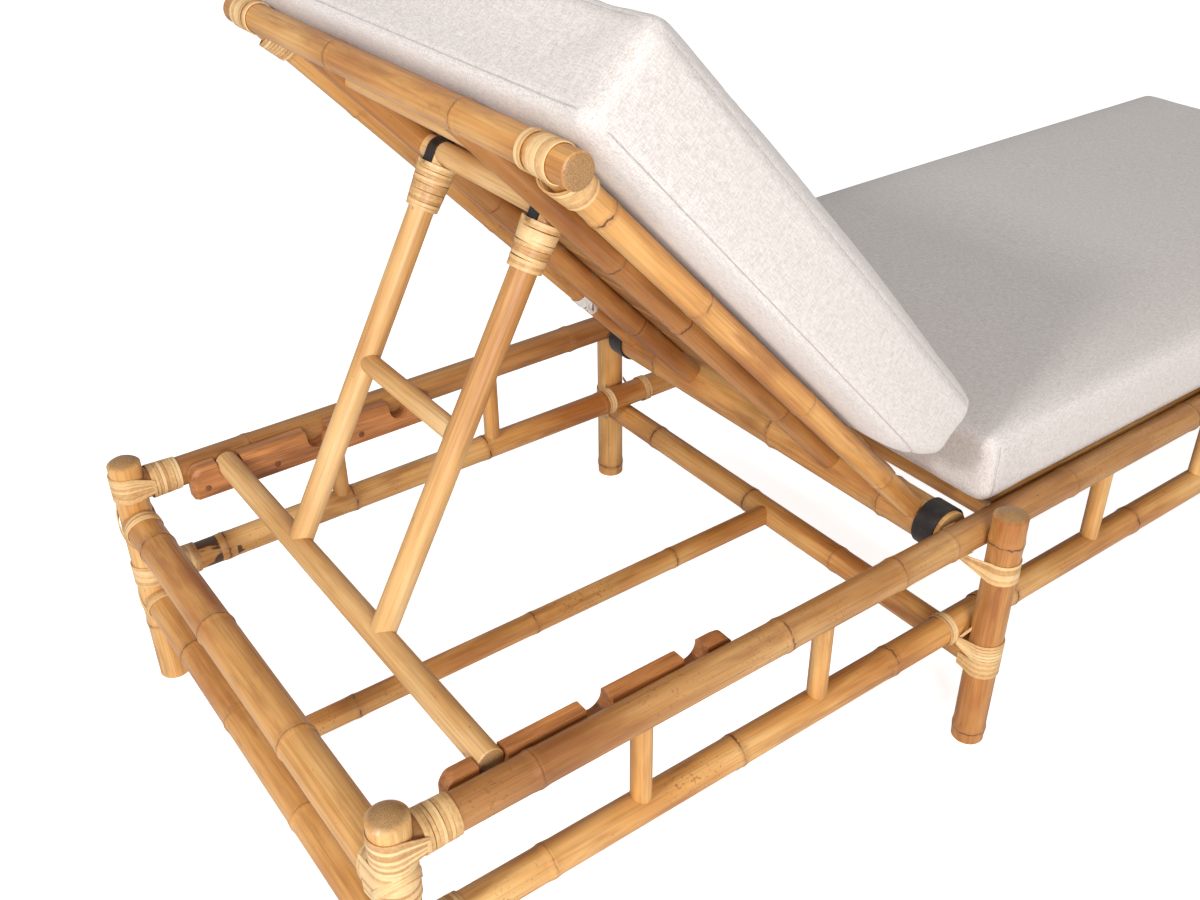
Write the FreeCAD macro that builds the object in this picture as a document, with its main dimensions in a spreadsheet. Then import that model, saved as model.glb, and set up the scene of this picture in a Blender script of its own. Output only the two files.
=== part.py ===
import FreeCAD, Part
import math
import os
import re

import Sketcher

# Sun lounger of bamboo poles with a folding backrest on a notched prop.
# Millimetres. X across, Y from the head end to the foot end, Z up from the floor.
# The origin is on the floor under the middle of the frame.

SIZES = {
    # legs, measured between their axes
    "frame_length": 2000,
    "frame_half_width": 325,
    "leg_radius": 19,
    "leg_height": 325,
    "leg_cap_rise": 8,
    "mid_leg_run": 730,
    "mid_leg_height": 330,
    # rails and what ties them together
    "upper_rail_radius": 18,
    "upper_rail_level": 283,
    "lower_rail_radius": 17.5,
    "lower_rail_level": 156,
    "end_upper_radius": 20.5,
    "end_upper_level": 238,
    "end_lower_radius": 18.5,
    "end_lower_level": 122,
    "cross_rail_radius": 17,
    "stretcher_radius": 13.5,
    "stretcher_level": 122,
    "post_radius": 11,
    "post_head_gap": 259,
    "post_foot_gap": 328,
    # clearances that every joint of the kind shares
    "cope_gap": 0.3,
    "running_gap": 0.08,
    "cut_overrun": 2,
    # notched racks inside the upper rails
    "rack_head_gap": 63,
    "rack_length": 322,
    "rack_thickness": 20,
    "rack_base_level": 259,
    "rack_height": 39,
    "rack_corner": 14,
    "rack_bevel": 5,
    "notch_first": 48,
    "notch_pitch": 114,
    "notch_count": 3,
    "notch_clearance": 1,
    "notch_drop": 23,
    "plug_radius": 4,
    "plug_depth": 6,
    "plug_rise": 12,
    # backrest, along the back from the pivot axis
    "pivot_run": 710,
    "pivot_level": 275,
    "pivot_radius": 25,
    "pivot_inset": 22,
    "pin_radius": 5,
    "pin_in_bar": 25,
    "pin_in_rail": 21,
    "back_angle": 46.8,
    "back_length": 723,
    "head_rail_radius": 14.5,
    "head_rail_inset": 22,
    "back_rail_radius": 13.5,
    "back_rail_inset": 68,
    "back_pole_radius": 14,
    "back_pole_place": 130,
    "back_ledge_radius": 7,
    "back_ledge_inset": 89,
    "back_ledge_end_gap": 37,
    "back_cross_radius": 9.5,
    "back_cross_drop": 51,
    "back_slat_width": 58,
    "back_slat_thickness": 5.7,
    "back_slat_crown": 1.6,
    "back_slat_first": 62,
    "back_slat_head_gap": 39,
    "back_slat_count": 9,
    "back_slat_lip": 5,
    # leather cuffs on the pivot bar
    "cuff_inset": 53,
    "cuff_width": 27,
    "cuff_thickness": 3,
    "cuff_screw_radius": 3.5,
    "cuff_screw_head": 1.6,
    # prop
    "prop_bar_drop": 162,
    "prop_bar_radius": 12,
    "foot_bar_radius": 14,
    "foot_bar_inset": 25,
    "strut_radius": 13.5,
    "strut_place": 95,
    "strut_flat": 12,
    "rung_radius": 11,
    "rung_share": 0.49,
    "strap_width": 14,
    "strap_thickness": 2.2,
    "strap_tail": 40,
    # rattan windings
    "strand_radius": 1.6,
    "strand_pitch": 4,
    "strand_seat": 0.3,
    "corner_loops": 8,
    "mid_loops": 4,
    "strut_loops": 8,
    "head_loops": 7,
    "sling_loops": 3,
    "winding_leg_gap": 4,
    "winding_pin_gap": 1,
    "strut_winding_drop": 22,
    # seat deck
    "deck_start_run": 772,
    "deck_end_gap": 60,
    "ledge_width": 16.7,
    "ledge_depth": 12,
    "ledge_level": 296,
    "slat_width": 60,
    "slat_thickness": 6.4,
    "slat_crown": 1.8,
    "slat_end_gap": 58,
    "slat_count": 16,
    "slat_inset": 21,
    "bearer_radius": 14,
    "bearer_level": 262,
    "bearer_inset": 10,
    "bearer_first_run": 800,
    "bearer_foot_gap": 100,
    "bearer_count": 3,
    # cushions
    "cushion_height": 92,
    "cushion_crown": 6,
    "cushion_corner": 12,
    "cushion_draw": 3,
    "seat_cushion_start_run": 732,
    "seat_cushion_end_gap": 25,
    "back_cushion_inset": 3,
    "back_cushion_start": 124,
    "back_cushion_overhang": 34,
    "back_cushion_height": 92,
    "back_cushion_crown": 12,
    "back_cushion_heel_run": 88,
    "back_cushion_heel_rise": 25,
    "tie_place": 90,
    "tie_width": 18,
    "tie_thickness": 1,
}

# A cushion's outline shrinks toward its two sides: how far in each section lies, as a share of the
# half width, and how much of the corner radius and of the crown it has there.
SECTION_PLACE_SHARES = (1.0, 0.985, 0.95, 0.6, 0.0)
SECTION_INSET_SHARES = (0.9, 0.3, 0.0, 0.0, 0.0)
SECTION_CROWN_SHARES = (0.0, 0.25, 0.5, 0.9, 1.0)

doc = FreeCAD.newDocument("SunLounger")
sheet = doc.addObject("Spreadsheet::Sheet", "Sizes")
for row, (alias, value) in enumerate(SIZES.items(), start=1):
    sheet.set(f"A{row}", alias)
    sheet.set(f"B{row}", str(value))
    sheet.setAlias(f"B{row}", alias)
doc.recompute()

parts = {}

# Places worked out from the sizes, as formulas of the sheet.
HEAD = "(-frame_length / 2)"
FOOT = "(frame_length / 2)"
MID = f"({HEAD} + mid_leg_run)"
MID_LEG_PLACE = "(frame_half_width + upper_rail_radius + leg_radius + cope_gap)"
CROSS_LEVEL = "(lower_rail_level - lower_rail_radius - cope_gap - cross_rail_radius)"
PIVOT = f"({HEAD} + pivot_run)"
RACK_OUTER = "(frame_half_width - upper_rail_radius - cope_gap)"
RACK_INNER = f"({RACK_OUTER} - rack_thickness)"
RACK_START = f"({HEAD} + rack_head_gap)"
NOTCH_RADIUS = "(foot_bar_radius + notch_clearance)"
FOOT_BAR_Y = f"({RACK_START} + notch_first)"
FOOT_BAR_Z = "(rack_base_level + rack_height - notch_drop + foot_bar_radius + cope_gap)"
PROP_BAR_RUN = "(back_length - prop_bar_drop)"
PROP_BAR_Y = f"({PIVOT} - {PROP_BAR_RUN} * cos(back_angle))"
PROP_BAR_Z = f"(pivot_level + {PROP_BAR_RUN} * sin(back_angle))"
PROP_RISE = f"({PROP_BAR_Z} - {FOOT_BAR_Z})"
PROP_RUN = f"({PROP_BAR_Y} - {FOOT_BAR_Y})"
PROP_LENGTH = f"(sqrt(({PROP_RISE})^2 + ({PROP_RUN})^2))"
SLAT_SEAT = "(back_pole_radius + cope_gap)"
SLAT_TOP = f"({SLAT_SEAT} + back_slat_thickness + cope_gap)"
LEDGE_HEIGHT = f"({SLAT_SEAT} - cope_gap - back_ledge_radius)"
CENTRE_POLE_RADIUS = "((ledge_level - bearer_level - bearer_radius - 2 * cope_gap) / 2)"
BACK_RAIL_PLACE = "(frame_half_width - back_rail_inset)"
BACK_LEDGE_PLACE = "(frame_half_width - back_ledge_inset)"
PIVOT_HALF = "(frame_half_width - pivot_inset)"
CUFF_PLACE = "(frame_half_width - cuff_inset)"


def formula(text):
    """A formula in the sheet's aliases, as FreeCAD wants it."""
    return re.sub(r"\b([a-z]+(?:_[a-z]+)+)\b", r"Sizes.\1", text)


def bind(thing, formulas):
    for prop, text in formulas.items():
        thing.setExpression(prop, formula(str(text)))
    return thing


def number(text):
    """The present value of such a formula."""
    return float(sheet.evalExpression(formula(f"({text}) * 1")))


def publish(thing, node):
    """Name a finished sub-part after its node."""
    thing.Label = node
    parts[node] = thing
    return thing


def turn(thing, axis, x, y, z, angle):
    """Place a thing at x, y, z, turned about an axis through its own origin."""
    thing.Placement = FreeCAD.Placement(FreeCAD.Vector(), FreeCAD.Rotation(axis, 1))
    return bind(thing, {
        "Placement.Base.x": x,
        "Placement.Base.y": y,
        "Placement.Base.z": z,
        "Placement.Rotation.Angle": angle,
    })


ACROSS = FreeCAD.Vector(1, 0, 0)
ALONG = FreeCAD.Vector(0, 1, 0)


def on_back(run, rise):
    """Where a point lies that is so far up the back from the pivot and so far out toward the sitter."""
    y = f"{PIVOT} - ({run}) * cos(back_angle) + ({rise}) * sin(back_angle)"
    z = f"pivot_level + ({run}) * sin(back_angle) + ({rise}) * cos(back_angle)"
    return y, z


def on_prop(run, rise):
    """Where a point lies that is so far up the prop from the foot bar and so far out behind it."""
    y = f"{FOOT_BAR_Y} + (({run}) * {PROP_RUN} - ({rise}) * {PROP_RISE}) / {PROP_LENGTH}"
    z = f"{FOOT_BAR_Z} + (({run}) * {PROP_RISE} + ({rise}) * {PROP_RUN}) / {PROP_LENGTH}"
    return y, z


PROP_TILT = f"(-atan2({PROP_RUN}; {PROP_RISE}))"
BACK_TILT = "(90 - back_angle)"


def pole(name, radius, run, start, end, *place):
    """A straight pole. Its run is across, along, up, back or prop; place is where it lies otherwise."""
    thing = doc.addObject("Part::Cylinder", name)
    bind(thing, {"Radius": radius, "Height": f"({end}) - ({start})"})
    if run == "across":
        turn(thing, ALONG, start, *place, 90)
    elif run == "along":
        turn(thing, ACROSS, place[0], start, place[1], -90)
    elif run == "up":
        turn(thing, ACROSS, place[0], place[1], start, 0)
    elif run == "back":
        turn(thing, ACROSS, place[0], *on_back(start, place[1]), BACK_TILT)
    elif run == "prop":
        turn(thing, ACROSS, place[0], *on_prop(start, place[1]), PROP_TILT)
    return thing


def grown(name, spec, gap="cope_gap"):
    """The space that another pole takes, with its clearance, for a saddle cut."""
    radius, run, start, end, *place = spec
    return pole(name, f"{radius} + {gap}", run, f"{start} - cut_overrun", f"{end} + cut_overrun", *place)


def cut(name, base, tools):
    thing = doc.addObject("Part::Cut", name)
    thing.Base = base
    thing.Tool = tools[0] if len(tools) == 1 else joined(f"{name}_tools", tools)
    return thing


def joined(name, things, kind="Part::MultiFuse"):
    thing = doc.addObject(kind, name)
    if kind == "Part::Compound":
        thing.Links = things
    else:
        thing.Shapes = things
    return thing


def coped(node, spec, *others, extra=()):
    """A pole whose ends are saddled onto the poles that carry it."""
    base = pole(f"{node}_pole", *spec)
    tools = [grown(f"{node}_saddle_{i}", other) for i, other in enumerate(others)]
    return cut(f"{node}_cut", base, tools + list(extra))


def sides():
    """The two sides: the name's ending and the sign of X. The left side is at minus X."""
    return (("left", -1), ("right", 1))


# Legs: a culm with a domed top
def domed(name, radius, rise, run, start, end, *place):
    """A pole whose far end is domed."""
    shaft = pole(f"{name}_shaft", radius, run, start, f"({end}) - {rise}", *place)
    cap = doc.addObject("Part::Sphere", f"{name}_cap")
    ball = f"(({radius})^2 + ({rise})^2) / (2 * {rise})"
    bind(cap, {"Radius": ball, "Angle1": f"asin(1 - {rise} / ({ball}))"})
    turn(cap, ACROSS, place[0], place[1], f"({end}) - ({ball})", 0)
    return joined(name, [shaft, cap])


LEGS = {}
for ending, sign in sides():
    for where, y in (("head", HEAD), ("foot", FOOT)):
        LEGS[where, ending] = ("leg_radius", "up", "0", "leg_height", f"{sign} * frame_half_width", y)
    LEGS["mid", ending] = ("leg_radius", "up", "0", "mid_leg_height", f"{sign} * {MID_LEG_PLACE}", MID)
for (where, ending), spec in LEGS.items():
    radius, run, start, end, *place = spec
    leg = domed(f"leg_{where}_{ending}_culm", radius, "leg_cap_rise", run, start, end, *place)
    publish(leg, f"leg_{where}_{ending}")

# Side rails, from leg to leg, and the bored seats of the pivot pins
SADDLE = "leg_radius / 2"
UPPER = {}
LOWER = {}
PINS = {}
for ending, sign in sides():
    run = ("along", f"{HEAD} + {SADDLE}", f"{FOOT} - {SADDLE}", f"{sign} * frame_half_width")
    UPPER[ending] = ("upper_rail_radius", *run, "upper_rail_level")
    LOWER[ending] = ("lower_rail_radius", *run, "lower_rail_level")
    inner = f"({PIVOT_HALF} - pin_in_bar)"
    outer = f"({RACK_OUTER} + cope_gap + pin_in_rail)"
    span = (inner, outer) if sign > 0 else (f"-{outer}", f"-{inner}")
    PINS[ending] = ("pin_radius", "across", *span, PIVOT, "pivot_level")
    bore = grown(f"pin_seat_{ending}", PINS[ending], "running_gap")
    ends = (LEGS["head", ending], LEGS["foot", ending])
    publish(coped(f"upper_rail_{ending}_culm", UPPER[ending], *ends, extra=[bore]), f"upper_rail_{ending}")
    publish(coped(f"lower_rail_{ending}_culm", LOWER[ending], *ends), f"lower_rail_{ending}")
pins = [pole(f"pin_{ending}", *PINS[ending]) for ending, sign in sides()]
publish(joined("pins", pins, "Part::Compound"), "pivot_pins")

# End rails, cross rail and centre stretcher
END_SPAN = (f"-frame_half_width + {SADDLE}", f"frame_half_width - {SADDLE}")
ENDS = {}
for where, y in (("head", HEAD), ("foot", FOOT)):
    legs = (LEGS[where, "left"], LEGS[where, "right"])
    for level in ("upper", "lower"):
        ENDS[where, level] = (f"end_{level}_radius", "across", *END_SPAN, y, f"end_{level}_level")
        rail = coped(f"{where}_end_{level}_culm", ENDS[where, level], *legs)
        publish(rail, f"{where}_end_rail_{level}")
CROSS_SPAN = (f"-{MID_LEG_PLACE} + {SADDLE}", f"{MID_LEG_PLACE} - {SADDLE}")
CROSS = ("cross_rail_radius", "across", *CROSS_SPAN, MID, CROSS_LEVEL)
publish(coped("cross_culm", CROSS, LEGS["mid", "left"], LEGS["mid", "right"]), "mid_cross_rail")
stretcher = (
    "stretcher_radius",
    "along",
    f"{HEAD} + end_lower_radius / 2",
    f"{MID} - cross_rail_radius / 2",
    "0",
    "stretcher_level",
)
publish(coped("stretcher_culm", stretcher, ENDS["head", "lower"], CROSS), "centre_stretcher")

# Short posts between the side rails, two ahead of the middle leg and four behind it
POST_PLACES = [f"{MID} - {step} * (mid_leg_run - post_head_gap) / 2" for step in (2, 1)]
POST_PLACES += [f"{MID} + {step} * (frame_length - mid_leg_run - post_foot_gap) / 4" for step in (1, 2, 3, 4)]
for ending, sign in sides():
    posts = []
    for i, place in enumerate(POST_PLACES):
        post = (
            "post_radius",
            "up",
            "lower_rail_level + lower_rail_radius / 2",
            "upper_rail_level - upper_rail_radius / 2",
            f"{sign} * frame_half_width",
            place,
        )
        posts.append(coped(f"post_{ending}_{i}", post, UPPER[ending], LOWER[ending]))
    publish(joined(f"posts_{ending}", posts, "Part::Compound"), f"spacer_posts_{ending}")


# Sketch helpers for the pieces cut from board
def plane(body, role):
    return [feature for feature in body.Origin.OriginFeatures if feature.Role == role][0]


def sketch_on(body, name, role, lift=None):
    sketch = body.newObject("Sketcher::SketchObject", name)
    sketch.AttachmentSupport = (plane(body, role), "")
    sketch.MapMode = "FlatFace"
    if lift:
        bind(sketch, {"AttachmentOffset.Base.z": lift})
    return sketch


def dimension(sketch, kind, name, value, *where):
    """A named dimension bound to the sheet."""
    index = sketch.addConstraint(Sketcher.Constraint(kind, *where, number(value)))
    sketch.renameConstraint(index, name)
    bind(sketch, {f"Constraints.{name}": value})


def line(x0, y0, x1, y1):
    return Part.LineSegment(FreeCAD.Vector(x0, y0, 0), FreeCAD.Vector(x1, y1, 0))


def arc(x, y, radius, start, end):
    circle = Part.Circle(FreeCAD.Vector(x, y, 0), FreeCAD.Vector(0, 0, 1), radius)
    return Part.ArcOfCircle(circle, math.radians(start), math.radians(end))


def link(sketch, *pairs):
    for kind, *where in pairs:
        sketch.addConstraint(Sketcher.Constraint(kind, *where))


# Racks: a teak board with rounded upper corners, a bevel along its inner edge and open notches
def rack_outline(sketch):
    long = number("rack_length")
    high = number("rack_height")
    round_off = number("rack_corner")
    sketch.addGeometry([
        line(0, 0, long, 0),
        line(long, 0, long, high - round_off),
        arc(long - round_off, high - round_off, round_off, 0, 90),
        line(long - round_off, high, round_off, high),
        arc(round_off, high - round_off, round_off, 90, 180),
        line(0, high - round_off, 0, 0),
    ], False)
    link(
        sketch,
        ("Coincident", 0, 1, -1, 1),
        ("Coincident", 0, 2, 1, 1),
        ("Coincident", 5, 2, 0, 1),
        ("Horizontal", 0),
        ("Vertical", 1),
        ("Horizontal", 3),
        ("Vertical", 5),
        ("Tangent", 1, 2, 2, 1),
        ("Tangent", 2, 2, 3, 1),
        ("Tangent", 3, 2, 4, 1),
        ("Tangent", 4, 2, 5, 1),
        ("Equal", 2, 4),
    )
    dimension(sketch, "DistanceX", "long", "rack_length", 0, 1, 0, 2)
    dimension(sketch, "DistanceY", "high", "rack_height", 0, 1, 3, 1)
    dimension(sketch, "Radius", "corner", "rack_corner", 2)


def notch_outline(sketch):
    """One open notch: a half round bottom under two upright walls."""
    middle = number("notch_first")
    radius = number(NOTCH_RADIUS)
    centre = number(f"rack_height - notch_drop + {NOTCH_RADIUS}")
    top = number("rack_height + cut_overrun")
    sketch.addGeometry([
        arc(middle, centre, radius, 180, 360),
        line(middle + radius, centre, middle + radius, top),
        line(middle + radius, top, middle - radius, top),
        line(middle - radius, top, middle - radius, centre),
    ], False)
    link(
        sketch,
        ("Tangent", 0, 2, 1, 1),
        ("Coincident", 1, 2, 2, 1),
        ("Coincident", 2, 2, 3, 1),
        ("Tangent", 3, 2, 0, 1),
        ("Vertical", 1),
        ("Horizontal", 2),
        ("Vertical", 3),
    )
    dimension(sketch, "Radius", "half_width", NOTCH_RADIUS, 0)
    dimension(sketch, "DistanceX", "place", "notch_first", -1, 1, 0, 3)
    dimension(sketch, "DistanceY", "level", f"rack_height - notch_drop + {NOTCH_RADIUS}", -1, 1, 0, 3)
    dimension(sketch, "DistanceY", "open_top", "rack_height + cut_overrun", -1, 1, 1, 2)


# A plugged screw sits in the middle of each block between the notches
BLOCK_ENDS = ["0"]
for k in range(SIZES["notch_count"]):
    BLOCK_ENDS.append(f"notch_first + {k} * notch_pitch - {NOTCH_RADIUS}")
    BLOCK_ENDS.append(f"notch_first + {k} * notch_pitch + {NOTCH_RADIUS}")
BLOCK_ENDS.append("rack_length")
PLUG_PLACES = [f"(({a}) + ({b})) / 2" for a, b in zip(BLOCK_ENDS[::2], BLOCK_ENDS[1::2])]
PLUG_LEVEL = "plug_rise"


def rack(ending, sign):
    body = doc.addObject("PartDesign::Body", f"rack_{ending}_body")
    outline = sketch_on(body, f"rack_{ending}_outline", "YZ_Plane")
    rack_outline(outline)
    board = body.newObject("PartDesign::Pad", f"rack_{ending}_board")
    board.Profile = outline
    bind(board, {"Length": "rack_thickness"})
    doc.recompute()
    inner = 0 if sign > 0 else number("rack_thickness")
    top = number("rack_height")
    names = []
    for i, edge in enumerate(board.Shape.Edges, start=1):
        centre = edge.CenterOfMass
        if abs(centre.x - inner) < 1e-6 and abs(centre.z - top) < 1e-6:
            names.append(f"Edge{i}")
    bevel = body.newObject("PartDesign::Chamfer", f"rack_{ending}_bevel")
    bevel.Base = (board, names)
    bind(bevel, {"Size": "rack_bevel"})
    notch = sketch_on(body, f"rack_{ending}_notch", "YZ_Plane")
    notch_outline(notch)
    slot = body.newObject("PartDesign::Pocket", f"rack_{ending}_slot")
    slot.Profile = notch
    slot.Type = "ThroughAll"
    slot.SideType = "Symmetric"
    body.Tip = slot
    doc.recompute()
    row = body.newObject("PartDesign::LinearPattern", f"rack_{ending}_row")
    row.Originals = [slot]
    row.Direction = (notch, ["H_Axis"])
    bind(row, {"Occurrences": "notch_count", "Length": "notch_pitch * (notch_count - 1)"})
    body.Tip = row
    holes = sketch_on(body, f"rack_{ending}_holes", "YZ_Plane", None if sign > 0 else "rack_thickness")
    for i, place in enumerate(PLUG_PLACES):
        centre = FreeCAD.Vector(number(place), number(PLUG_LEVEL), 0)
        radius = number("plug_radius + running_gap")
        holes.addGeometry(Part.Circle(centre, FreeCAD.Vector(0, 0, 1), radius), False)
        dimension(holes, "DistanceX", f"place_{i}", place, -1, 1, i, 3)
        dimension(holes, "DistanceY", f"level_{i}", PLUG_LEVEL, -1, 1, i, 3)
        dimension(holes, "Radius", f"radius_{i}", "plug_radius + running_gap", i)
    bores = body.newObject("PartDesign::Pocket", f"rack_{ending}_bores")
    bores.Profile = holes
    bores.SideType = "Symmetric"
    bind(bores, {"Length": "2 * plug_depth"})
    body.Tip = bores
    x = RACK_INNER if sign > 0 else f"-{RACK_OUTER}"
    bind(body, {"Placement.Base.x": x, "Placement.Base.y": RACK_START, "Placement.Base.z": "rack_base_level"})
    return body


plugs = []
for ending, sign in sides():
    publish(rack(ending, sign), f"rack_{ending}")
    for i, place in enumerate(PLUG_PLACES):
        start = RACK_INNER if sign > 0 else f"-{RACK_INNER} - plug_depth + running_gap"
        end = f"{RACK_INNER} + plug_depth - running_gap" if sign > 0 else f"-{RACK_INNER}"
        level = f"rack_base_level + {PLUG_LEVEL}"
        y = f"{RACK_START} + {place}"
        plugs.append(pole(f"plug_{ending}_{i}", "plug_radius", "across", start, end, y, level))
publish(joined("plugs", plugs, "Part::Compound"), "rack_plugs")

# Backrest poles
PIVOT_BAR = ("pivot_radius", "across", f"-{PIVOT_HALF}", PIVOT_HALF, PIVOT, "pivot_level")
bores = [grown(f"pivot_bore_{ending}", PINS[ending], "running_gap") for ending, sign in sides()]
publish(cut("pivot_culm", pole("pivot_pole", *PIVOT_BAR), bores), "pivot_bar")
HEAD_RAIL = (
    "head_rail_radius",
    "across",
    "-(frame_half_width - head_rail_inset)",
    "frame_half_width - head_rail_inset",
    *on_back("back_length", "0"),
)
publish(pole("head_rail_culm", *HEAD_RAIL), "head_rail")


def lengthwise(radius, place, rise="0"):
    """A backrest pole from the pivot bar to the head rail."""
    return (radius, "back", "pivot_radius / 2", "back_length - head_rail_radius / 2", place, rise)


POLES = {}
ledges = []
for ending, sign in sides():
    rail = lengthwise("back_rail_radius", f"{sign} * {BACK_RAIL_PLACE}")
    publish(coped(f"back_rail_{ending}_culm", rail, PIVOT_BAR, HEAD_RAIL), f"back_side_rail_{ending}")
    POLES[ending] = lengthwise("back_pole_radius", f"{sign} * back_pole_place")
    publish(coped(f"back_pole_{ending}_culm", POLES[ending], PIVOT_BAR, HEAD_RAIL), f"back_pole_{ending}")
    ledge = (
        "back_ledge_radius",
        "back",
        "pivot_radius / 2",
        "back_length - back_ledge_end_gap",
        f"{sign} * {BACK_LEDGE_PLACE}",
        LEDGE_HEIGHT,
    )
    ledges.append(coped(f"back_ledge_{ending}", ledge, PIVOT_BAR))
publish(joined("back_ledge_pair", ledges, "Part::Compound"), "back_ledges")
BETWEEN = ("across", "-back_pole_place + back_pole_radius / 2", "back_pole_place - back_pole_radius / 2")
crossbar = ("back_cross_radius", *BETWEEN, *on_back("back_length - back_cross_drop", "0"))
publish(coped("crossbar_culm", crossbar, POLES["left"], POLES["right"]), "back_crossbar")
PROP_BAR = ("prop_bar_radius", *BETWEEN, PROP_BAR_Y, PROP_BAR_Z)
publish(coped("prop_bar_culm", PROP_BAR, POLES["left"], POLES["right"]), "prop_bar")


# Split cane slats: flat below, gently crowned above, one padded and repeated
def slats(node, half_length, width, thickness, crown, run, count, place):
    body = doc.addObject("PartDesign::Body", f"{node}_body")
    section = sketch_on(body, f"{node}_section", "YZ_Plane")
    half = number(width) / 2
    side = number(f"{thickness} - {crown}")
    rise = number(crown)
    radius = (half ** 2 + rise ** 2) / (2 * rise)
    lean = math.degrees(math.asin(half / radius))
    section.addGeometry([
        line(-half, 0, half, 0),
        line(half, 0, half, side),
        arc(0, side + rise - radius, radius, 90 - lean, 90 + lean),
        line(-half, side, -half, 0),
    ], False)
    link(
        section,
        ("Coincident", 0, 2, 1, 1),
        ("Coincident", 1, 2, 2, 1),
        ("Coincident", 2, 2, 3, 1),
        ("Coincident", 3, 2, 0, 1),
        ("Horizontal", 0),
        ("Vertical", 1),
        ("Vertical", 3),
        ("Symmetric", 0, 1, 0, 2, -1, 1),
        ("Equal", 1, 3),
    )
    dimension(section, "DistanceX", "width", width, 0, 1, 0, 2)
    dimension(section, "DistanceY", "edge", f"{thickness} - {crown}", 1, 1, 1, 2)
    dimension(section, "Radius", "bow", f"(({width})^2 / 4 + ({crown})^2) / (2 * {crown})", 2)
    slat = body.newObject("PartDesign::Pad", f"{node}_slat")
    slat.Profile = section
    slat.SideType = "Symmetric"
    bind(slat, {"Length": f"2 * ({half_length})"})
    body.Tip = slat
    doc.recompute()
    row = body.newObject("PartDesign::LinearPattern", f"{node}_row")
    row.Originals = [slat]
    row.Direction = (section, ["H_Axis"])
    bind(row, {"Occurrences": count, "Length": run})
    body.Tip = row
    turn(body, ACROSS, "0", *place)
    return publish(body, node)


LAST_BACK_SLAT = "back_length - back_slat_head_gap - back_slat_width / 2"
slats(
    "back_slats",
    f"{BACK_LEDGE_PLACE} + back_slat_lip",
    "back_slat_width",
    "back_slat_thickness",
    "back_slat_crown",
    "back_length - back_slat_head_gap - back_slat_first - back_slat_width",
    "back_slat_count",
    (*on_back(LAST_BACK_SLAT, SLAT_SEAT), "-back_angle"),
)

# Leather cuffs round the ends of the pivot bar, with a screw under each
screws = []
for ending, sign in sides():
    inner = CUFF_PLACE
    outer = f"({CUFF_PLACE} + cuff_width)"
    span = (inner, outer) if sign > 0 else (f"-{outer}", f"-{inner}")
    outside = "(pivot_radius + cuff_thickness)"
    run = ("across", *span, PIVOT, "pivot_level")
    sleeve = pole(f"cuff_{ending}_outside", outside, *run)
    bore = grown(f"cuff_{ending}_inside", ("pivot_radius", *run), "running_gap")
    publish(cut(f"cuff_{ending}", sleeve, [bore]), f"pivot_cuff_{ending}")
    middle = f"{sign} * ({CUFF_PLACE} + cuff_width / 2)"
    screws.append(pole(
        f"cuff_screw_{ending}",
        "cuff_screw_radius",
        "up",
        "pivot_level - pivot_radius - cuff_thickness - cuff_screw_head",
        "pivot_level - pivot_radius - cuff_thickness",
        middle,
        PIVOT,
    ))
publish(joined("cuff_screw_pair", screws, "Part::Compound"), "cuff_screws")

# Prop: two struts from the prop bar down to the long foot bar, with a rung between
FOOT_BAR = (
    "foot_bar_radius",
    "across",
    "-(frame_half_width - foot_bar_inset)",
    "frame_half_width - foot_bar_inset",
    FOOT_BAR_Y,
    FOOT_BAR_Z,
)
publish(pole("foot_bar_culm", *FOOT_BAR), "prop_foot_bar")
STRUTS = {}
for ending, sign in sides():
    run = ("prop", "foot_bar_radius / 2", PROP_LENGTH)
    STRUTS[ending] = ("strut_radius", *run, f"{sign} * strut_place", "0")
    flats = []
    for i, way in enumerate((-1, 1)):
        flat = doc.addObject("Part::Box", f"strut_{ending}_flat_{i}")
        bind(flat, {
            "Length": "2 * strut_radius + 2 * cut_overrun",
            "Width": "strut_radius",
            "Height": "strap_tail + prop_bar_radius + cut_overrun",
        })
        rise = "-strut_flat" if way > 0 else "strut_flat + strut_radius"
        corner = f"{sign} * strut_place - strut_radius - cut_overrun"
        turn(flat, ACROSS, corner, *on_prop(f"{PROP_LENGTH} - strap_tail - prop_bar_radius", rise), PROP_TILT)
        flats.append(flat)
    strut = coped(f"strut_{ending}_culm", STRUTS[ending], FOOT_BAR, PROP_BAR, extra=flats)
    publish(strut, f"prop_strut_{ending}")
rung = (
    "rung_radius",
    "across",
    "-strut_place + strut_radius / 2",
    "strut_place - strut_radius / 2",
    *on_prop(f"{PROP_LENGTH} * rung_share", "0"),
)
publish(coped("rung_culm", rung, STRUTS["left"], STRUTS["right"]), "prop_rung")


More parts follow.
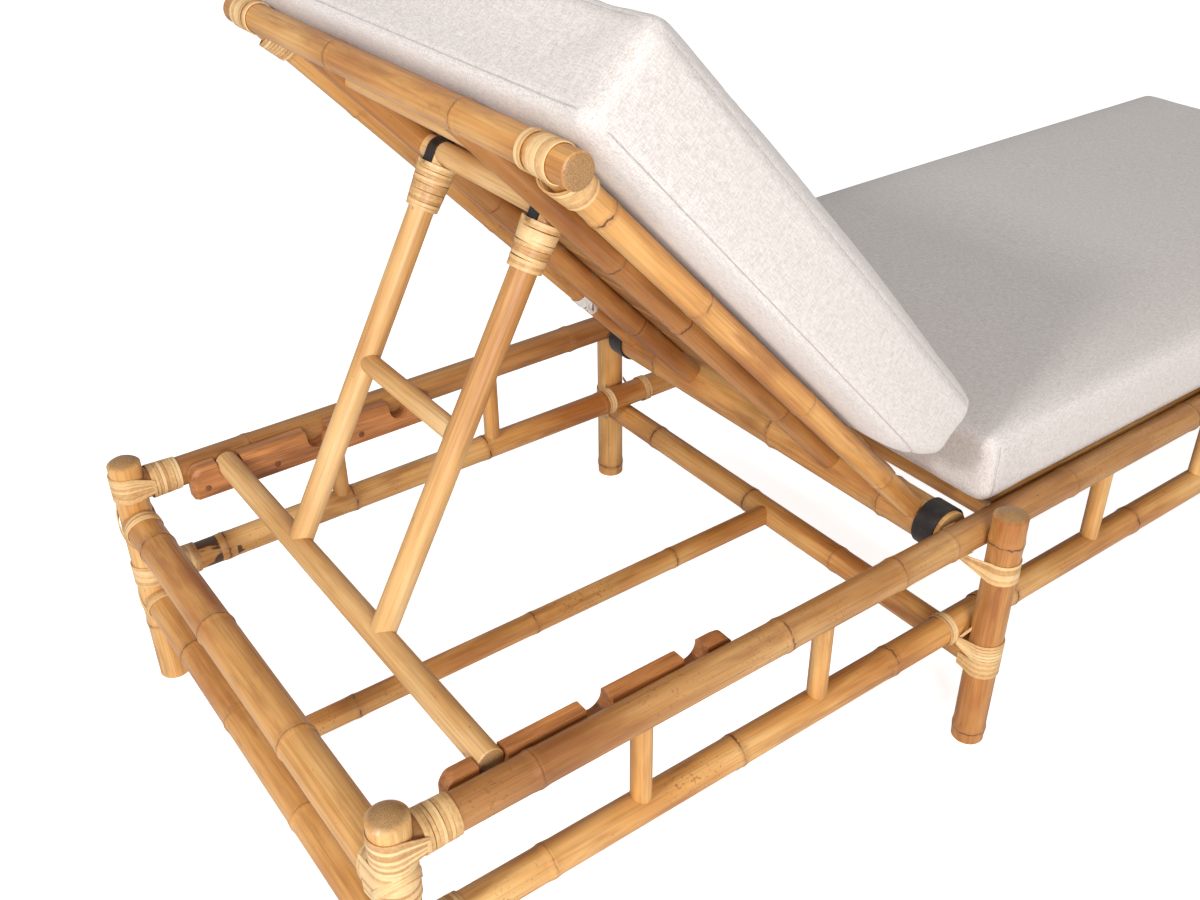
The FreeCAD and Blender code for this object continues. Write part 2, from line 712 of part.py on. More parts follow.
# Leather straps over the prop bar: a half ring with two straight tails on the flats of the strut
def strap(ending, sign):
    body = doc.addObject("PartDesign::Body", f"strap_{ending}_body")
    outline = sketch_on(body, f"strap_{ending}_outline", "YZ_Plane")
    inner = number("prop_bar_radius + running_gap")
    outer = number("prop_bar_radius + running_gap + strap_thickness")
    tail = number("prop_bar_radius + strap_tail")
    outline.addGeometry([
        arc(0, 0, outer, 0, 180),
        line(-outer, 0, -outer, -tail),
        line(-outer, -tail, -inner, -tail),
        line(-inner, -tail, -inner, 0),
        arc(0, 0, inner, 0, 180),
        line(inner, 0, inner, -tail),
        line(inner, -tail, outer, -tail),
        line(outer, -tail, outer, 0),
    ], False)
    link(
        outline,
        ("Coincident", 0, 3, -1, 1),
        ("Coincident", 4, 3, -1, 1),
        ("Tangent", 0, 2, 1, 1),
        ("Coincident", 1, 2, 2, 1),
        ("Coincident", 2, 2, 3, 1),
        ("Tangent", 3, 2, 4, 2),
        ("Tangent", 4, 1, 5, 1),
        ("Coincident", 5, 2, 6, 1),
        ("Coincident", 6, 2, 7, 1),
        ("Tangent", 7, 2, 0, 1),
        ("Vertical", 1),
        ("Vertical", 3),
        ("Vertical", 5),
        ("Vertical", 7),
        ("Horizontal", 2),
        ("Horizontal", 6),
        ("Equal", 1, 7),
    )
    dimension(outline, "Radius", "outer", "prop_bar_radius + running_gap + strap_thickness", 0)
    dimension(outline, "Radius", "inner", "prop_bar_radius + running_gap", 4)
    dimension(outline, "DistanceY", "tail", "prop_bar_radius + strap_tail", 1, 2, 1, 1)
    band = body.newObject("PartDesign::Pad", f"strap_{ending}_band")
    band.Profile = outline
    band.SideType = "Symmetric"
    bind(band, {"Length": "strap_width"})
    body.Tip = band
    turn(body, ACROSS, f"{sign} * strut_place", PROP_BAR_Y, PROP_BAR_Z, PROP_TILT)
    return publish(body, f"prop_strap_{ending}")


for ending, sign in sides():
    strap(ending, sign)

# Seat deck: bearers across, a centre pole on them, split cane ledges and slats
bearers = []
BEARER_PITCH = "(frame_length - bearer_first_run - bearer_foot_gap) / (bearer_count - 1)"
for i in range(SIZES["bearer_count"]):
    y = f"{HEAD} + bearer_first_run + {i} * {BEARER_PITCH}"
    span = ("-(frame_half_width - bearer_inset)", "frame_half_width - bearer_inset")
    bearer = ("bearer_radius", "across", *span, y, "bearer_level")
    bearers.append(coped(f"bearer_{i}", bearer, UPPER["left"], UPPER["right"]))
publish(joined("bearers", bearers, "Part::Compound"), "seat_cross_bars")
DECK_START = f"({HEAD} + deck_start_run)"
DECK_END = f"({FOOT} - deck_end_gap)"
centre_level = f"ledge_level - cope_gap - {CENTRE_POLE_RADIUS}"
centre = (CENTRE_POLE_RADIUS, "along", DECK_START, DECK_END, "0", centre_level)
publish(pole("centre_culm", *centre), "seat_centre_pole")
for ending, sign in sides():
    ledge = doc.addObject("Part::Box", f"ledge_{ending}")
    bind(ledge, {"Length": "ledge_width", "Width": f"{DECK_END} - {DECK_START}", "Height": "ledge_depth"})
    x = f"{RACK_OUTER} - ledge_width" if sign > 0 else f"-{RACK_OUTER}"
    base = "ledge_level - ledge_depth"
    bind(ledge, {"Placement.Base.x": x, "Placement.Base.y": DECK_START, "Placement.Base.z": base})
    publish(ledge, f"seat_ledge_{ending}")
slats(
    "seat_slats",
    "frame_half_width - slat_inset",
    "slat_width",
    "slat_thickness",
    "slat_crown",
    f"{DECK_END} - {DECK_START} - slat_width - slat_end_gap",
    "slat_count",
    (f"{DECK_START} + slat_width / 2 + cut_overrun", "ledge_level + cope_gap", "0"),
)


# Rattan windings: one strand that climbs round a pole as half turns, each made of two tangent arcs
def biarc(p0, t0, p1, t1):
    """Two circle arcs from p0 to p1 that leave along t0, arrive along t1 and meet tangentially."""
    gap = p1 - p0
    both = t0 + t1
    spread = 2 * (1 - t0.dot(t1))
    reach = (-gap.dot(both) + math.sqrt(gap.dot(both) ** 2 + spread * gap.dot(gap))) / spread
    first = p0 + t0 * reach
    second = p1 - t1 * reach
    middle = (first + second) / 2
    edges = []
    for a, corner, b in ((p0, first, middle), (middle, second, p1)):
        weight = (b - a).Length / (2 * reach)
        crest = (a + corner * (2 * weight) + b) / (2 + 2 * weight)
        edges.append(Part.Arc(a, crest, b).toShape())
    return edges


def strand(core, loops):
    """A strand wound round a core along Z, from a half pitch above the origin."""
    thick = number("strand_radius")
    climb = number("strand_pitch") / 2
    radius = core + number("strand_seat") + thick
    points = []
    tangents = []
    for i in range(2 * loops + 1):
        side = 1 if i % 2 == 0 else -1
        points.append(FreeCAD.Vector(side * radius, 0, thick + i * climb))
        tangents.append(FreeCAD.Vector(0, side * math.pi * radius, climb).normalize())
    edges = []
    for i in range(2 * loops):
        edges += biarc(points[i], tangents[i], points[i + 1], tangents[i + 1])
    path = Part.Wire(edges)
    sideways = FreeCAD.Vector(1, 0, 0)
    upward = tangents[0].cross(sideways).normalize()
    ring = ((1, 0), (0, 1), (-1, 0), (0, -1), (1, 0))
    corners = [points[0] + (sideways * a + upward * b) * thick for a, b in ring]
    shell = Part.BRepOffsetAPI.MakePipeShell(path)
    shell.add(Part.makePolygon(corners))
    shell.build()
    shell.makeSolid()
    return shell.shape(), path


def least_gap(path, loops):
    """The least distance between neighbouring turns, measured on points of the strand's middle line."""
    per_turn = 48
    points = path.discretize(Number=per_turn * loops + 1)
    best = min(
        points[i].distanceToPoint(points[j])
        for i in range(len(points))
        for j in range(i + per_turn * 3 // 4, min(i + per_turn * 5 // 4, len(points)))
    )
    return best - 2 * number("strand_radius")


def winding(name, core, loops, x, y, z, axis, angle):
    """A winding at a place, its own Z turned to run along the pole."""
    thing = doc.addObject("Part::Feature", name)
    thing.Shape, path = strand(number(core), loops)
    print(f"{name}: least gap between turns {least_gap(path, loops):.2f} mm")
    return turn(thing, axis, x, y, z, angle)


corner_windings = {"head": [], "foot": []}
mid_windings = []
head_windings = []
strut_windings = []
WINDING_LENGTH = "(strand_pitch * {} + 2 * strand_radius)"
for ending, sign in sides():
    x = f"{sign} * frame_half_width"
    corner_start = f"{HEAD} + leg_radius + winding_leg_gap"
    length = WINDING_LENGTH.format("corner_loops")
    for rail in ("upper_rail", "lower_rail"):
        radius, level = f"{rail}_radius", f"{rail}_level"
        for where, start in (("head", corner_start), ("foot", f"-({corner_start}) - {length}")):
            name = f"{where}_{radius[:5]}_winding_{ending}"
            corner_windings[where].append(
                winding(name, radius, SIZES["corner_loops"], x, start, level, ACROSS, -90)
            )
    length = WINDING_LENGTH.format("mid_loops")
    ahead = f"{PIVOT} - pin_radius - winding_pin_gap - {length}"
    behind = f"{MID} + leg_radius + winding_pin_gap"
    for i, start in enumerate((ahead, behind)):
        name = f"mid_winding_{ending}_{i}"
        level = "upper_rail_level"
        loops = SIZES["mid_loops"]
        mid_windings.append(winding(name, "upper_rail_radius", loops, x, start, level, ACROSS, -90))
    length = WINDING_LENGTH.format("head_loops")
    near = f"({BACK_RAIL_PLACE} - back_rail_radius - cope_gap)"
    start = f"{near} - {length}" if sign > 0 else f"-{near}"
    place = on_back("back_length", "0")
    name = f"head_winding_{ending}"
    head_windings.append(winding(name, "head_rail_radius", SIZES["head_loops"], start, *place, ALONG, 90))
    length = WINDING_LENGTH.format("sling_loops")
    place = on_back(f"back_length - head_rail_radius - 2 * winding_pin_gap - {length}", "0")
    x = f"{sign} * {BACK_RAIL_PLACE}"
    name = f"sling_winding_{ending}"
    loops = SIZES["sling_loops"]
    head_windings.append(winding(name, "back_rail_radius", loops, x, *place, ACROSS, BACK_TILT))
    core = "sqrt((strut_flat + running_gap + strap_thickness)^2 + strap_width^2 / 4)"
    place = on_prop(f"{PROP_LENGTH} - strut_winding_drop - {WINDING_LENGTH.format('strut_loops')}", "0")
    name = f"strut_winding_{ending}"
    x = f"{sign} * strut_place"
    strut_windings.append(winding(name, core, SIZES["strut_loops"], x, *place, ACROSS, PROP_TILT))
publish(joined("head_corner_strands", corner_windings["head"], "Part::Compound"), "head_corner_bindings")
publish(joined("foot_corner_strands", corner_windings["foot"], "Part::Compound"), "foot_corner_bindings")
publish(joined("mid_strands", mid_windings, "Part::Compound"), "mid_leg_bindings")
publish(joined("head_rail_strands", head_windings, "Part::Compound"), "head_rail_bindings")
publish(joined("strut_strands", strut_windings, "Part::Compound"), "prop_bindings")


# Cushions: a rounded outline lofted from side to side, fuller in the middle
def bowed(a, b, sag):
    """An arc from a to b whose middle stands off the chord, to its left for a positive sag."""
    chord = b - a
    middle = (a + b) / 2 + FreeCAD.Vector(0, -chord.z, chord.y).normalize() * sag
    return Part.Arc(a, middle, b).toShape()


def outline(x, start, end, bottom, top, corner, heel_run, heel_rise, crown, draw):
    """One section of a cushion: a heel at its end, four eased edges, a crowned top and drawn-in ends."""
    def at(y, z):
        return FreeCAD.Vector(x, y, z)

    ease = corner * (1 - math.sqrt(0.5))
    lower_start = (at(start, bottom + corner), at(start + ease, bottom + ease), at(start + corner, bottom))
    edges = [
        Part.LineSegment(at(start + corner, bottom), at(end - heel_run, bottom)).toShape(),
        bowed(at(end - heel_run, bottom), at(end, bottom + heel_rise), -heel_rise / 4),
        bowed(at(end, bottom + heel_rise), at(end, top - corner), draw),
        Part.Arc(at(end, top - corner), at(end - ease, top - ease), at(end - corner, top)).toShape(),
        bowed(at(end - corner, top), at(start + corner, top), -crown),
        Part.Arc(at(start + corner, top), at(start + ease, top - ease), at(start, top - corner)).toShape(),
        bowed(at(start, top - corner), at(start, bottom + corner), draw),
        Part.Arc(*lower_start).toShape(),
    ]
    return Part.Wire(edges)


def cushion(name, half_width, start, end, height, corner, crown, draw, heel_run, heel_rise):
    """A cushion standing on Z zero, its length along Y."""
    wires = []
    shares = list(zip(SECTION_PLACE_SHARES, SECTION_INSET_SHARES, SECTION_CROWN_SHARES))
    row = [(-p, i, c) for p, i, c in shares] + [(p, i, c) for p, i, c in reversed(shares[:-1])]
    for place, inset, fullness in row:
        shrink = inset * corner
        rise = crown * fullness
        wires.append(outline(
            place * half_width,
            start + shrink,
            end - shrink,
            shrink,
            height - shrink,
            corner,
            heel_run,
            heel_rise,
            max(rise, crown * SECTION_CROWN_SHARES[1] / 4),
            draw,
        ))
    thing = doc.addObject("Part::Feature", name)
    thing.Shape = Part.makeLoft(wires, True, True)
    return thing


seat = cushion(
    "seat_pad",
    number("frame_half_width"),
    number(f"{HEAD} + seat_cushion_start_run"),
    number(f"{FOOT} - seat_cushion_end_gap"),
    number("cushion_height - cushion_crown"),
    number("cushion_corner"),
    number("cushion_crown"),
    number("cushion_draw"),
    number("cushion_corner"),
    number("cushion_corner"),
)
bind(seat, {"Placement.Base.z": "ledge_level + 2 * cope_gap + slat_thickness"})
publish(seat, "seat_cushion")
back = cushion(
    "back_pad",
    number("frame_half_width - back_cushion_inset"),
    number("-(back_length + back_cushion_overhang)"),
    number("0 - back_cushion_start"),
    number("back_cushion_height"),
    number("cushion_corner"),
    number("back_cushion_crown"),
    number("cushion_draw"),
    number("back_cushion_heel_run"),
    number("back_cushion_heel_rise"),
)
turn(back, ACROSS, "0", *on_back("0", SLAT_TOP), "-back_angle")
publish(back, "back_cushion")

# A cloth tie round the left side rail holds the back cushion
TIE = ("back_rail_radius", "back", "tie_place", "tie_place + tie_width", f"-{BACK_RAIL_PLACE}", "0")
cloth = grown("tie_outside", TIE, "cope_gap + tie_thickness")
bind(cloth, {"Height": "tie_width"})
turn(cloth, ACROSS, f"-{BACK_RAIL_PLACE}", *on_back("tie_place", "0"), BACK_TILT)
publish(cut("tie", cloth, [grown("tie_inside", TIE)]), "cushion_tie")

doc.recompute()
faulty = [thing.Name for thing in doc.Objects if {"Invalid", "Error"} & set(thing.State)]
for node, thing in parts.items():
    shape = thing.Shape
    if shape.isNull() or not shape.isValid() or not shape.Solids:
        faulty.append(node)
if faulty:
    raise SystemExit(f"not written, faulty: {faulty}")

os.makedirs("parts", exist_ok=True)
box = FreeCAD.BoundBox()
for node, thing in parts.items():
    thing.Shape.exportStep(f"parts/{node}.step")
    box.add(thing.Shape.BoundBox)
print(f"{len(parts)} nodes, {sum(len(thing.Shape.Solids) for thing in parts.values())} solids")
print(f"box {box.XMin:.1f} {box.XMax:.1f}, {box.YMin:.1f} {box.YMax:.1f}, {box.ZMin:.2f} {box.ZMax:.1f}")
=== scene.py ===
# %% [markdown]
# # Dressing a bamboo sun lounger
# The lounger's poles, racks, slats and straps come ready made from the CAD model. This notebook gives
# them their finishes, and models what the CAD leaves out: the joints of the culms, the rattan
# bindings, the stuffed cushions and the cloth tie. The frame is loaded first, because every new piece
# takes its place from it.

import math
import random

import bmesh
import bpy
from mathutils import Matrix, Vector
from mathutils.bvhtree import BVHTree
from mathutils.kdtree import KDTree


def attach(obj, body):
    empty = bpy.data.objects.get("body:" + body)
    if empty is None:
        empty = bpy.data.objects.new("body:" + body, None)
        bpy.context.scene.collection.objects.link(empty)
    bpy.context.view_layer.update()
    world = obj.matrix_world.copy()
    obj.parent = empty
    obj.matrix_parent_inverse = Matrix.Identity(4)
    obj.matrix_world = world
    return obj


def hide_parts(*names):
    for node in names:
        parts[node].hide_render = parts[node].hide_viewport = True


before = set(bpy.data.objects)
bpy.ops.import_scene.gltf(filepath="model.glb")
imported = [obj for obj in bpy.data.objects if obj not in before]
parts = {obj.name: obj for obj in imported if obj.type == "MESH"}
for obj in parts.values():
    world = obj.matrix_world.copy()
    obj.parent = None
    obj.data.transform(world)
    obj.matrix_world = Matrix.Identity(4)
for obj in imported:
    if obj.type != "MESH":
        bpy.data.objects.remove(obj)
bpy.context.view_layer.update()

# %% [markdown]
# ## Camera
# The photograph was taken from above the head end, a little to the right. A camera can be aimed with a
# Track To constraint, but the photograph is rolled by a fraction of a degree as well, so here the
# camera's three axes are worked out from its yaw, pitch and roll.

# %% Place the camera
def linked(name, data):
    """A new object round some data, in the scene."""
    made = bpy.data.objects.new(name, data)
    bpy.context.scene.collection.objects.link(made)
    return made


YAW, PITCH, ROLL = (math.radians(a) for a in (54.27, 32.55, 0.68))
CAMERA_PLACE = (0.9817, -1.25729, 1.10143)
LENS_MM, FILM_MM = 37.25, 36
forward = Vector((-math.sin(YAW) * math.cos(PITCH), math.cos(YAW) * math.cos(PITCH), -math.sin(PITCH)))
level = Vector((math.cos(YAW), math.sin(YAW), 0))
below = forward.cross(level)
right = math.cos(ROLL) * level + math.sin(ROLL) * below
up = math.sin(ROLL) * level - math.cos(ROLL) * below
lens_data = bpy.data.cameras.new("photo_camera")
lens_data.lens, lens_data.sensor_width = LENS_MM, FILM_MM
camera = linked("photo_camera", lens_data)
turned = Matrix((right, up, -forward)).transposed().to_4x4()
camera.matrix_world = Matrix.Translation(CAMERA_PLACE) @ turned
bpy.context.scene.camera = camera
print("camera looks along", [round(v, 3) for v in forward])

# %% [markdown]
# ## Sizes shared with the CAD model
# The bindings and joints follow poles that are already there. A pole can be measured again from its
# mesh, but some numbers in metres are easier to read, so they are named once here. R is a radius, and
# a place on the backrest is measured from the pivot along its poles.

# %% Name the places
LEG_X, HEAD_Y, MID_Y, MID_LEG_X = 0.325, -1.0, -0.27, 0.3623
LEG_R, UPPER_R, LOWER_R, END_UPPER_R, END_LOWER_R = 0.019, 0.018, 0.0175, 0.0205, 0.0185
UPPER_Z, LOWER_Z, END_UPPER_Z, END_LOWER_Z = 0.283, 0.156, 0.238, 0.122
CROSS_Z, CROSS_R, STRETCHER_Z, STRETCHER_R = 0.1212, 0.017, 0.122, 0.0135
PIVOT = Vector((0, -0.29, 0.275))
BACK_ANGLE = math.radians(46.8)
BACK_UP = Vector((0, -math.cos(BACK_ANGLE), math.sin(BACK_ANGLE)))
BACK_OUT = Vector((0, math.sin(BACK_ANGLE), math.cos(BACK_ANGLE)))
BACK_RAIL_X, BACK_RAIL_R, BACK_POLE_X, BACK_POLE_R = 0.257, 0.0135, 0.13, 0.014
HEAD_RAIL, HEAD_RAIL_R, PIVOT_BAR_R = PIVOT + BACK_UP * 0.723, 0.0145, 0.025
FOOT_BAR, FOOT_BAR_R, STRUT_X = Vector((0, -0.889, 0.2893)), 0.014, 0.095
PROP_TOP = PIVOT + BACK_UP * 0.561
PROP_UP = (PROP_TOP - FOOT_BAR).normalized()
PROP_LEAN = math.atan2(PROP_UP.y, PROP_UP.z)
PROP_SWING = math.radians(94)
Y_AXIS, X_AXIS, Z_AXIS = Vector((0, 1, 0)), Vector((1, 0, 0)), Vector((0, 0, 1))
print("prop", round((PROP_TOP - FOOT_BAR).length, 4), "leans", round(math.degrees(PROP_LEAN), 1))


# %% [markdown]
# ## A short way to write materials
# A material is a tree of nodes. Clicking them together in the shader editor gives the same tree; in
# code, one helper that adds a node and plugs its inputs keeps each finish short.

# %% Material helpers
def tint(red, green, blue):
    """A screen colour from 0 to 255 as the linear colour that a socket wants."""
    return (*(((v / 255 + 0.055) / 1.055) ** 2.4 if v > 10 else v / 3294 for v in (red, green, blue)), 1)


def add(tree, kind, inputs=None, **settings):
    """A node with its settings made and its inputs plugged or set."""
    made = tree.nodes.new(kind)
    for name, value in settings.items():
        setattr(made, name, value)
    for name, value in (inputs or {}).items():
        if isinstance(value, bpy.types.NodeSocket):
            tree.links.new(value, made.inputs[name])
        else:
            made.inputs[name].default_value = value
    return made


def ramp(tree, factor, *stops):
    """A colour ramp through stops, each a place and a screen colour or a bare number for a grey."""
    colours = [tint(*shade) if isinstance(shade, tuple) else (shade,) * 3 + (1,) for _, shade in stops]
    stops = [(place, colour) for (place, _), colour in zip(stops, colours)]
    made = add(tree, "ShaderNodeValToRGB", {"Fac": factor})
    band = made.color_ramp
    band.elements[0].position, band.elements[0].color = stops[0]
    band.elements[1].position, band.elements[1].color = stops[-1]
    for place, colour in stops[1:-1]:
        band.elements.new(place).color = colour
    return made.outputs["Color"]


def halfway(first, second):
    return tuple((a + b) / 2 for a, b in zip(first, second))


def mixed(tree, factor, first, second, way="MIX"):
    """Two colours blended by a factor."""
    inputs = {0: factor, 6: first, 7: second}
    return add(tree, "ShaderNodeMix", inputs, data_type="RGBA", blend_type=way).outputs[2]


def sums(tree, way, first, second=0):
    return add(tree, "ShaderNodeMath", {0: first, 1: second}, operation=way).outputs[0]


def plus(tree, first, second):
    return sums(tree, "ADD", first, second)


def times(tree, first, second):
    return sums(tree, "MULTIPLY", first, second)


def apart(tree, value, middle):
    """How far a value is from a middle, either way."""
    return sums(tree, "ABSOLUTE", sums(tree, "SUBTRACT", value, middle))


def stretched(tree, where, scale, spin=(0, 0, 0)):
    """Coordinates turned and then scaled, so that a noise on them runs along a pole."""
    turned = add(tree, "ShaderNodeMapping", {"Vector": where, "Rotation": spin}).outputs[0]
    return add(tree, "ShaderNodeMapping", {"Vector": turned, "Scale": scale}).outputs[0]


def noise(tree, where, scale, detail=3.0, rough=0.55):
    sockets = {"Vector": where, "Scale": scale, "Detail": detail, "Roughness": rough}
    return add(tree, "ShaderNodeTexNoise", sockets).outputs["Fac"]


def drawn(tree, where, spin, shrink, scale, detail, rough):
    """A noise drawn out along a pole's own way."""
    return noise(tree, stretched(tree, where, (1, 1, shrink), spin), scale, detail, rough)


def marked(tree, name):
    return add(tree, "ShaderNodeAttribute", attribute_name=name).outputs["Fac"]


def object_place(tree):
    return add(tree, "ShaderNodeTexCoord").outputs["Object"]


def shade_by(tree, amount, value, more, weight):
    """A value times an amount, plus another value times its weight."""
    return plus(tree, times(tree, value, amount), times(tree, more, weight))


def wired(tree, shader, colour, height=None, strength=0.3, distance=0.0004, rough=None):
    """Plug a colour, a roughness and a bump height into the shader."""
    tree.links.new(colour, shader.inputs["Base Color"])
    if rough is not None:
        tree.links.new(rough, shader.inputs["Roughness"])
    if height is not None:
        sockets = {"Height": height, "Strength": strength, "Distance": distance}
        bump = add(tree, "ShaderNodeBump", sockets)
        tree.links.new(bump.outputs[0], shader.inputs["Normal"])


def new_finish(name, roughness=0.5, **sockets):
    """An empty material with its Principled shader, whose plain numbers are set on its own sockets."""
    made = bpy.data.materials.new(name)
    made.use_nodes = True
    shader = made.node_tree.nodes["Principled BSDF"]
    shader.inputs["Roughness"].default_value = roughness
    for socket, value in sockets.items():
        shader.inputs[socket.replace("_", " ")].default_value = value
    return made, made.node_tree, shader


print("a mid grey on screen is", round(tint(128, 128, 128)[0], 3), "as light")

# %% [markdown]
# ## Culm finish
# A bamboo culm has long fine streaks, warm patches, a few burnt specks, sawn ends with a stippled
# grain, and at each joint a dark jagged line. It could be painted on unwrapped poles, but a noise in
# object coordinates, drawn out along the pole, needs no unwrapping and has no seam. Poles run five
# ways here, so the finish is made once for each way. The joint line is painted where a piece carries
# the "joint" attribute, which only the modelled joints have.

# %% Culm finish
JOINT_MARK = 3  # the "joint" attribute has this value on the joint's dark line
SAND = ((235, 188, 122), (214, 155, 86), (172, 106, 48))


def culm(name, spin, tones=SAND, shine=0.34, scorch=None, freckled=0.25, stain=0.5):
    """A culm's finish: spin lays it along the pole, and near scorch the culm is burnt."""
    made, tree, shader = new_finish(name, shine, Coat_Weight=0.22, Coat_Roughness=0.28)
    where = add(tree, "ShaderNodeTexCoord")
    place = where.outputs["Object"]
    streaks = drawn(tree, place, spin, 0.018, 430, 4, 0.6)
    bands = drawn(tree, place, spin, 0.1, 62, 3, 0.6)
    patches = drawn(tree, place, spin, 0.3, 15, 3, 0.5)
    tone = shade_by(tree, 0.5, patches, bands, 0.3)
    tone = plus(tree, tone, times(tree, noise(tree, place, 4.5, 1), 0.2))
    base = ramp(tree, tone, *zip((0.37, 0.5, 0.62), tones))
    fibres = ramp(tree, streaks, (0.3, 0.74), (0.52, 1.0), (0.75, 1.06))
    base = mixed(tree, 1.0, base, fibres, "MULTIPLY")
    smears = drawn(tree, place, spin, 0.16, 34, 4, 0.65)
    stained = ramp(tree, smears, (0.55, 0), (0.66, stain), (0.75, stain))
    base = mixed(tree, stained, base, tint(146, 88, 42))
    specks = drawn(tree, place, spin, 0.45, 210, 2, 0.5)
    burnt = ramp(tree, specks, (0.73, 0), (0.78, 1))
    base = mixed(tree, times(tree, burnt, 0.6), base, tint(96, 60, 34))
    freckles = ramp(tree, noise(tree, place, 300, 1), (0.62, 0), (0.68, 0.75))
    weathered = ramp(tree, noise(tree, place, 11, 2), (0.52, 0), (0.64, freckled))
    base = mixed(tree, times(tree, freckles, weathered), base, tint(128, 78, 42))
    if scorch is not None:
        beside = add(tree, "ShaderNodeSeparateXYZ", {0: place}).outputs[1]
        near = apart(tree, beside, scorch)
        patchy = drawn(tree, place, spin, 0.3, 42, 3, 0.6)
        scald = sums(tree, "SUBTRACT", patchy, times(tree, near, 7))
        base = mixed(tree, ramp(tree, scald, (0.42, 0), (0.45, 0.9)), base, tint(58, 38, 30))
    normal = {"Vector": where.outputs["Normal"], "Rotation": spin}
    turned = add(tree, "ShaderNodeMapping", normal, vector_type="VECTOR").outputs[0]
    along = add(tree, "ShaderNodeSeparateXYZ", {0: turned}).outputs[2]
    facing = sums(tree, "ABSOLUTE", along)
    stipple = noise(tree, place, 1500, 2, 0.7)
    pored = ((0.36, (112, 80, 48)), (0.5, (160, 120, 76)), (0.66, (190, 152, 104)))
    pores = ramp(tree, stipple, *pored)
    base = mixed(tree, ramp(tree, facing, (0.72, 0), (0.86, 0.9)), base, pores)
    line = marked(tree, "joint")
    clear = marked(tree, "clear")
    ragged = drawn(tree, place, spin, 0.3, 120, 3, 0.65)
    line = plus(tree, line, times(tree, sums(tree, "SUBTRACT", ragged, 0.5), 0.9))
    off = apart(tree, line, JOINT_MARK)
    broken = ramp(tree, noise(tree, place, 80, 2), (0.42, 0.2), (0.52, 1))
    dark = times(tree, ramp(tree, off, (0.05, 1), (0.19, 0)), broken)
    halo = ramp(tree, off, (0.1, 0.55), (0.75, 0))
    base = mixed(tree, times(tree, halo, clear), base, tint(170, 112, 60))
    base = mixed(tree, times(tree, dark, clear), base, tint(88, 54, 30))
    rough = ramp(tree, streaks, (0.3, shine + 0.16), (0.7, shine - 0.04))
    wired(tree, shader, base, streaks, 0.22, rough=rough)
    return made


QUARTER = math.pi / 2
RUNS = {
    "up": (0, 0, 0),
    "along": (QUARTER, 0, 0),
    "across": (0, QUARTER, 0),
    "back": (BACK_ANGLE - QUARTER, 0, 0),
    "prop": (PROP_LEAN, 0, 0),
}
# Darker culm tones: painted shade for the poles under the backrest
SHADE_PAINTED_TONES = ((214, 160, 96), (188, 128, 68), (150, 91, 42))
DARKER_RAIL_TONES = ((204, 156, 98), (180, 126, 70), (142, 87, 41))
# Darker culm tones for the upper rails than for the lower ones
STRAW = ((240, 200, 143), (221, 170, 106), (190, 132, 72))
SPLIT = ((204, 156, 97), (174, 121, 69), (138, 88, 47))
CULM = {
    run: culm(f"culm_{run}", RUNS[run], freckled=0.8 if run == "along" else 0.25)
    for run in ("up", "along", "across", "back")
}
# The poles under the backrest get a darker copy of the culm, which paints their shade
CULM["pole"] = culm("culm_painted_shade_under_back", RUNS["back"], SHADE_PAINTED_TONES)
CULM["rail"] = culm("culm_upper_rail", RUNS["along"], DARKER_RAIL_TONES, freckled=0.6)
PEELED = {
    run: culm(f"peeled_{run}", RUNS[run], STRAW, 0.42, freckled=0.0, stain=0.15)
    for run in ("across", "prop")
}
SCORCHED = culm("scorched_culm", RUNS["along"], scorch=-0.918, freckled=0.8)
SLATTED = culm("split_cane", RUNS["across"], SPLIT, 0.45)
print("culm finishes:", len(CULM) + len(PEELED) + 2)


# %% [markdown]
# ## Teak, leather and steel
# The racks are oiled teak: reddish brown, with dark wavy grain along the board. The straps and cuffs
# are black leather with a fine pebble and a soft gloss. The pins and screws are brushed steel. Each
# could be an image texture, but the file has to stand alone, so all three are noises.

# %% Teak finish
def teak(name, light, dark, spin):
    made, tree, shader = new_finish(name, 0.42, Coat_Weight=0.15, Coat_Roughness=0.35)
    place = object_place(tree)
    fine = drawn(tree, place, spin, 0.03, 620, 4, 0.65)
    broad = drawn(tree, place, spin, 0.12, 75, 4, 0.6)
    shades = ((0.33, light), (0.52, halfway(light, dark)), (0.68, dark))
    base = ramp(tree, broad, *shades)
    base = mixed(tree, 1.0, base, ramp(tree, fine, (0.35, 0.72), (0.6, 1.05)), "MULTIPLY")
    wired(tree, shader, base, fine, rough=ramp(tree, fine, (0.3, 0.55), (0.7, 0.36)))
    return made


TEAK = teak("oiled_teak", (212, 142, 82), (144, 86, 45), RUNS["along"])
PLUG = teak("teak_plug", (150, 92, 56), (96, 52, 30), RUNS["across"])
print("teak ready")


# %% Leather and steel finishes
def leather():
    made, tree, shader = new_finish("black_leather", 0.48, Coat_Weight=0.2, Coat_Roughness=0.3)
    place = object_place(tree)
    pebble = add(tree, "ShaderNodeTexVoronoi", {"Vector": place, "Scale": 900}).outputs["Distance"]
    worn = noise(tree, place, 70, 4)
    base = ramp(tree, worn, (0.35, (24, 22, 23)), (0.6, (38, 35, 36)), (0.75, (62, 57, 57)))
    wired(tree, shader, base, pebble, 0.35, 0.0003)
    return made


def steel():
    made, tree, shader = new_finish("brushed_steel", 0.35, Metallic=1.0)
    brushed = noise(tree, stretched(tree, object_place(tree), (0.05, 1, 1)), 900, 3)
    base = ramp(tree, brushed, (0.3, 0.42), (0.7, 0.62))
    wired(tree, shader, base, rough=ramp(tree, brushed, (0.3, 0.25), (0.7, 0.45)))
    return made


LEATHER, STEEL = leather(), steel()
print("leather and steel ready")


# %% [markdown]
# ## Rattan and linen
# The bindings are peeled rattan, pale strands that each carry a "strand" attribute with their own
# shade. The cushions are covered in plain linen: threads both ways, some of them thicker or darker. A
# weave can follow a UV map, but the simulated cushions lose theirs, so it runs in object coordinates,
# turned to lie along each cushion.

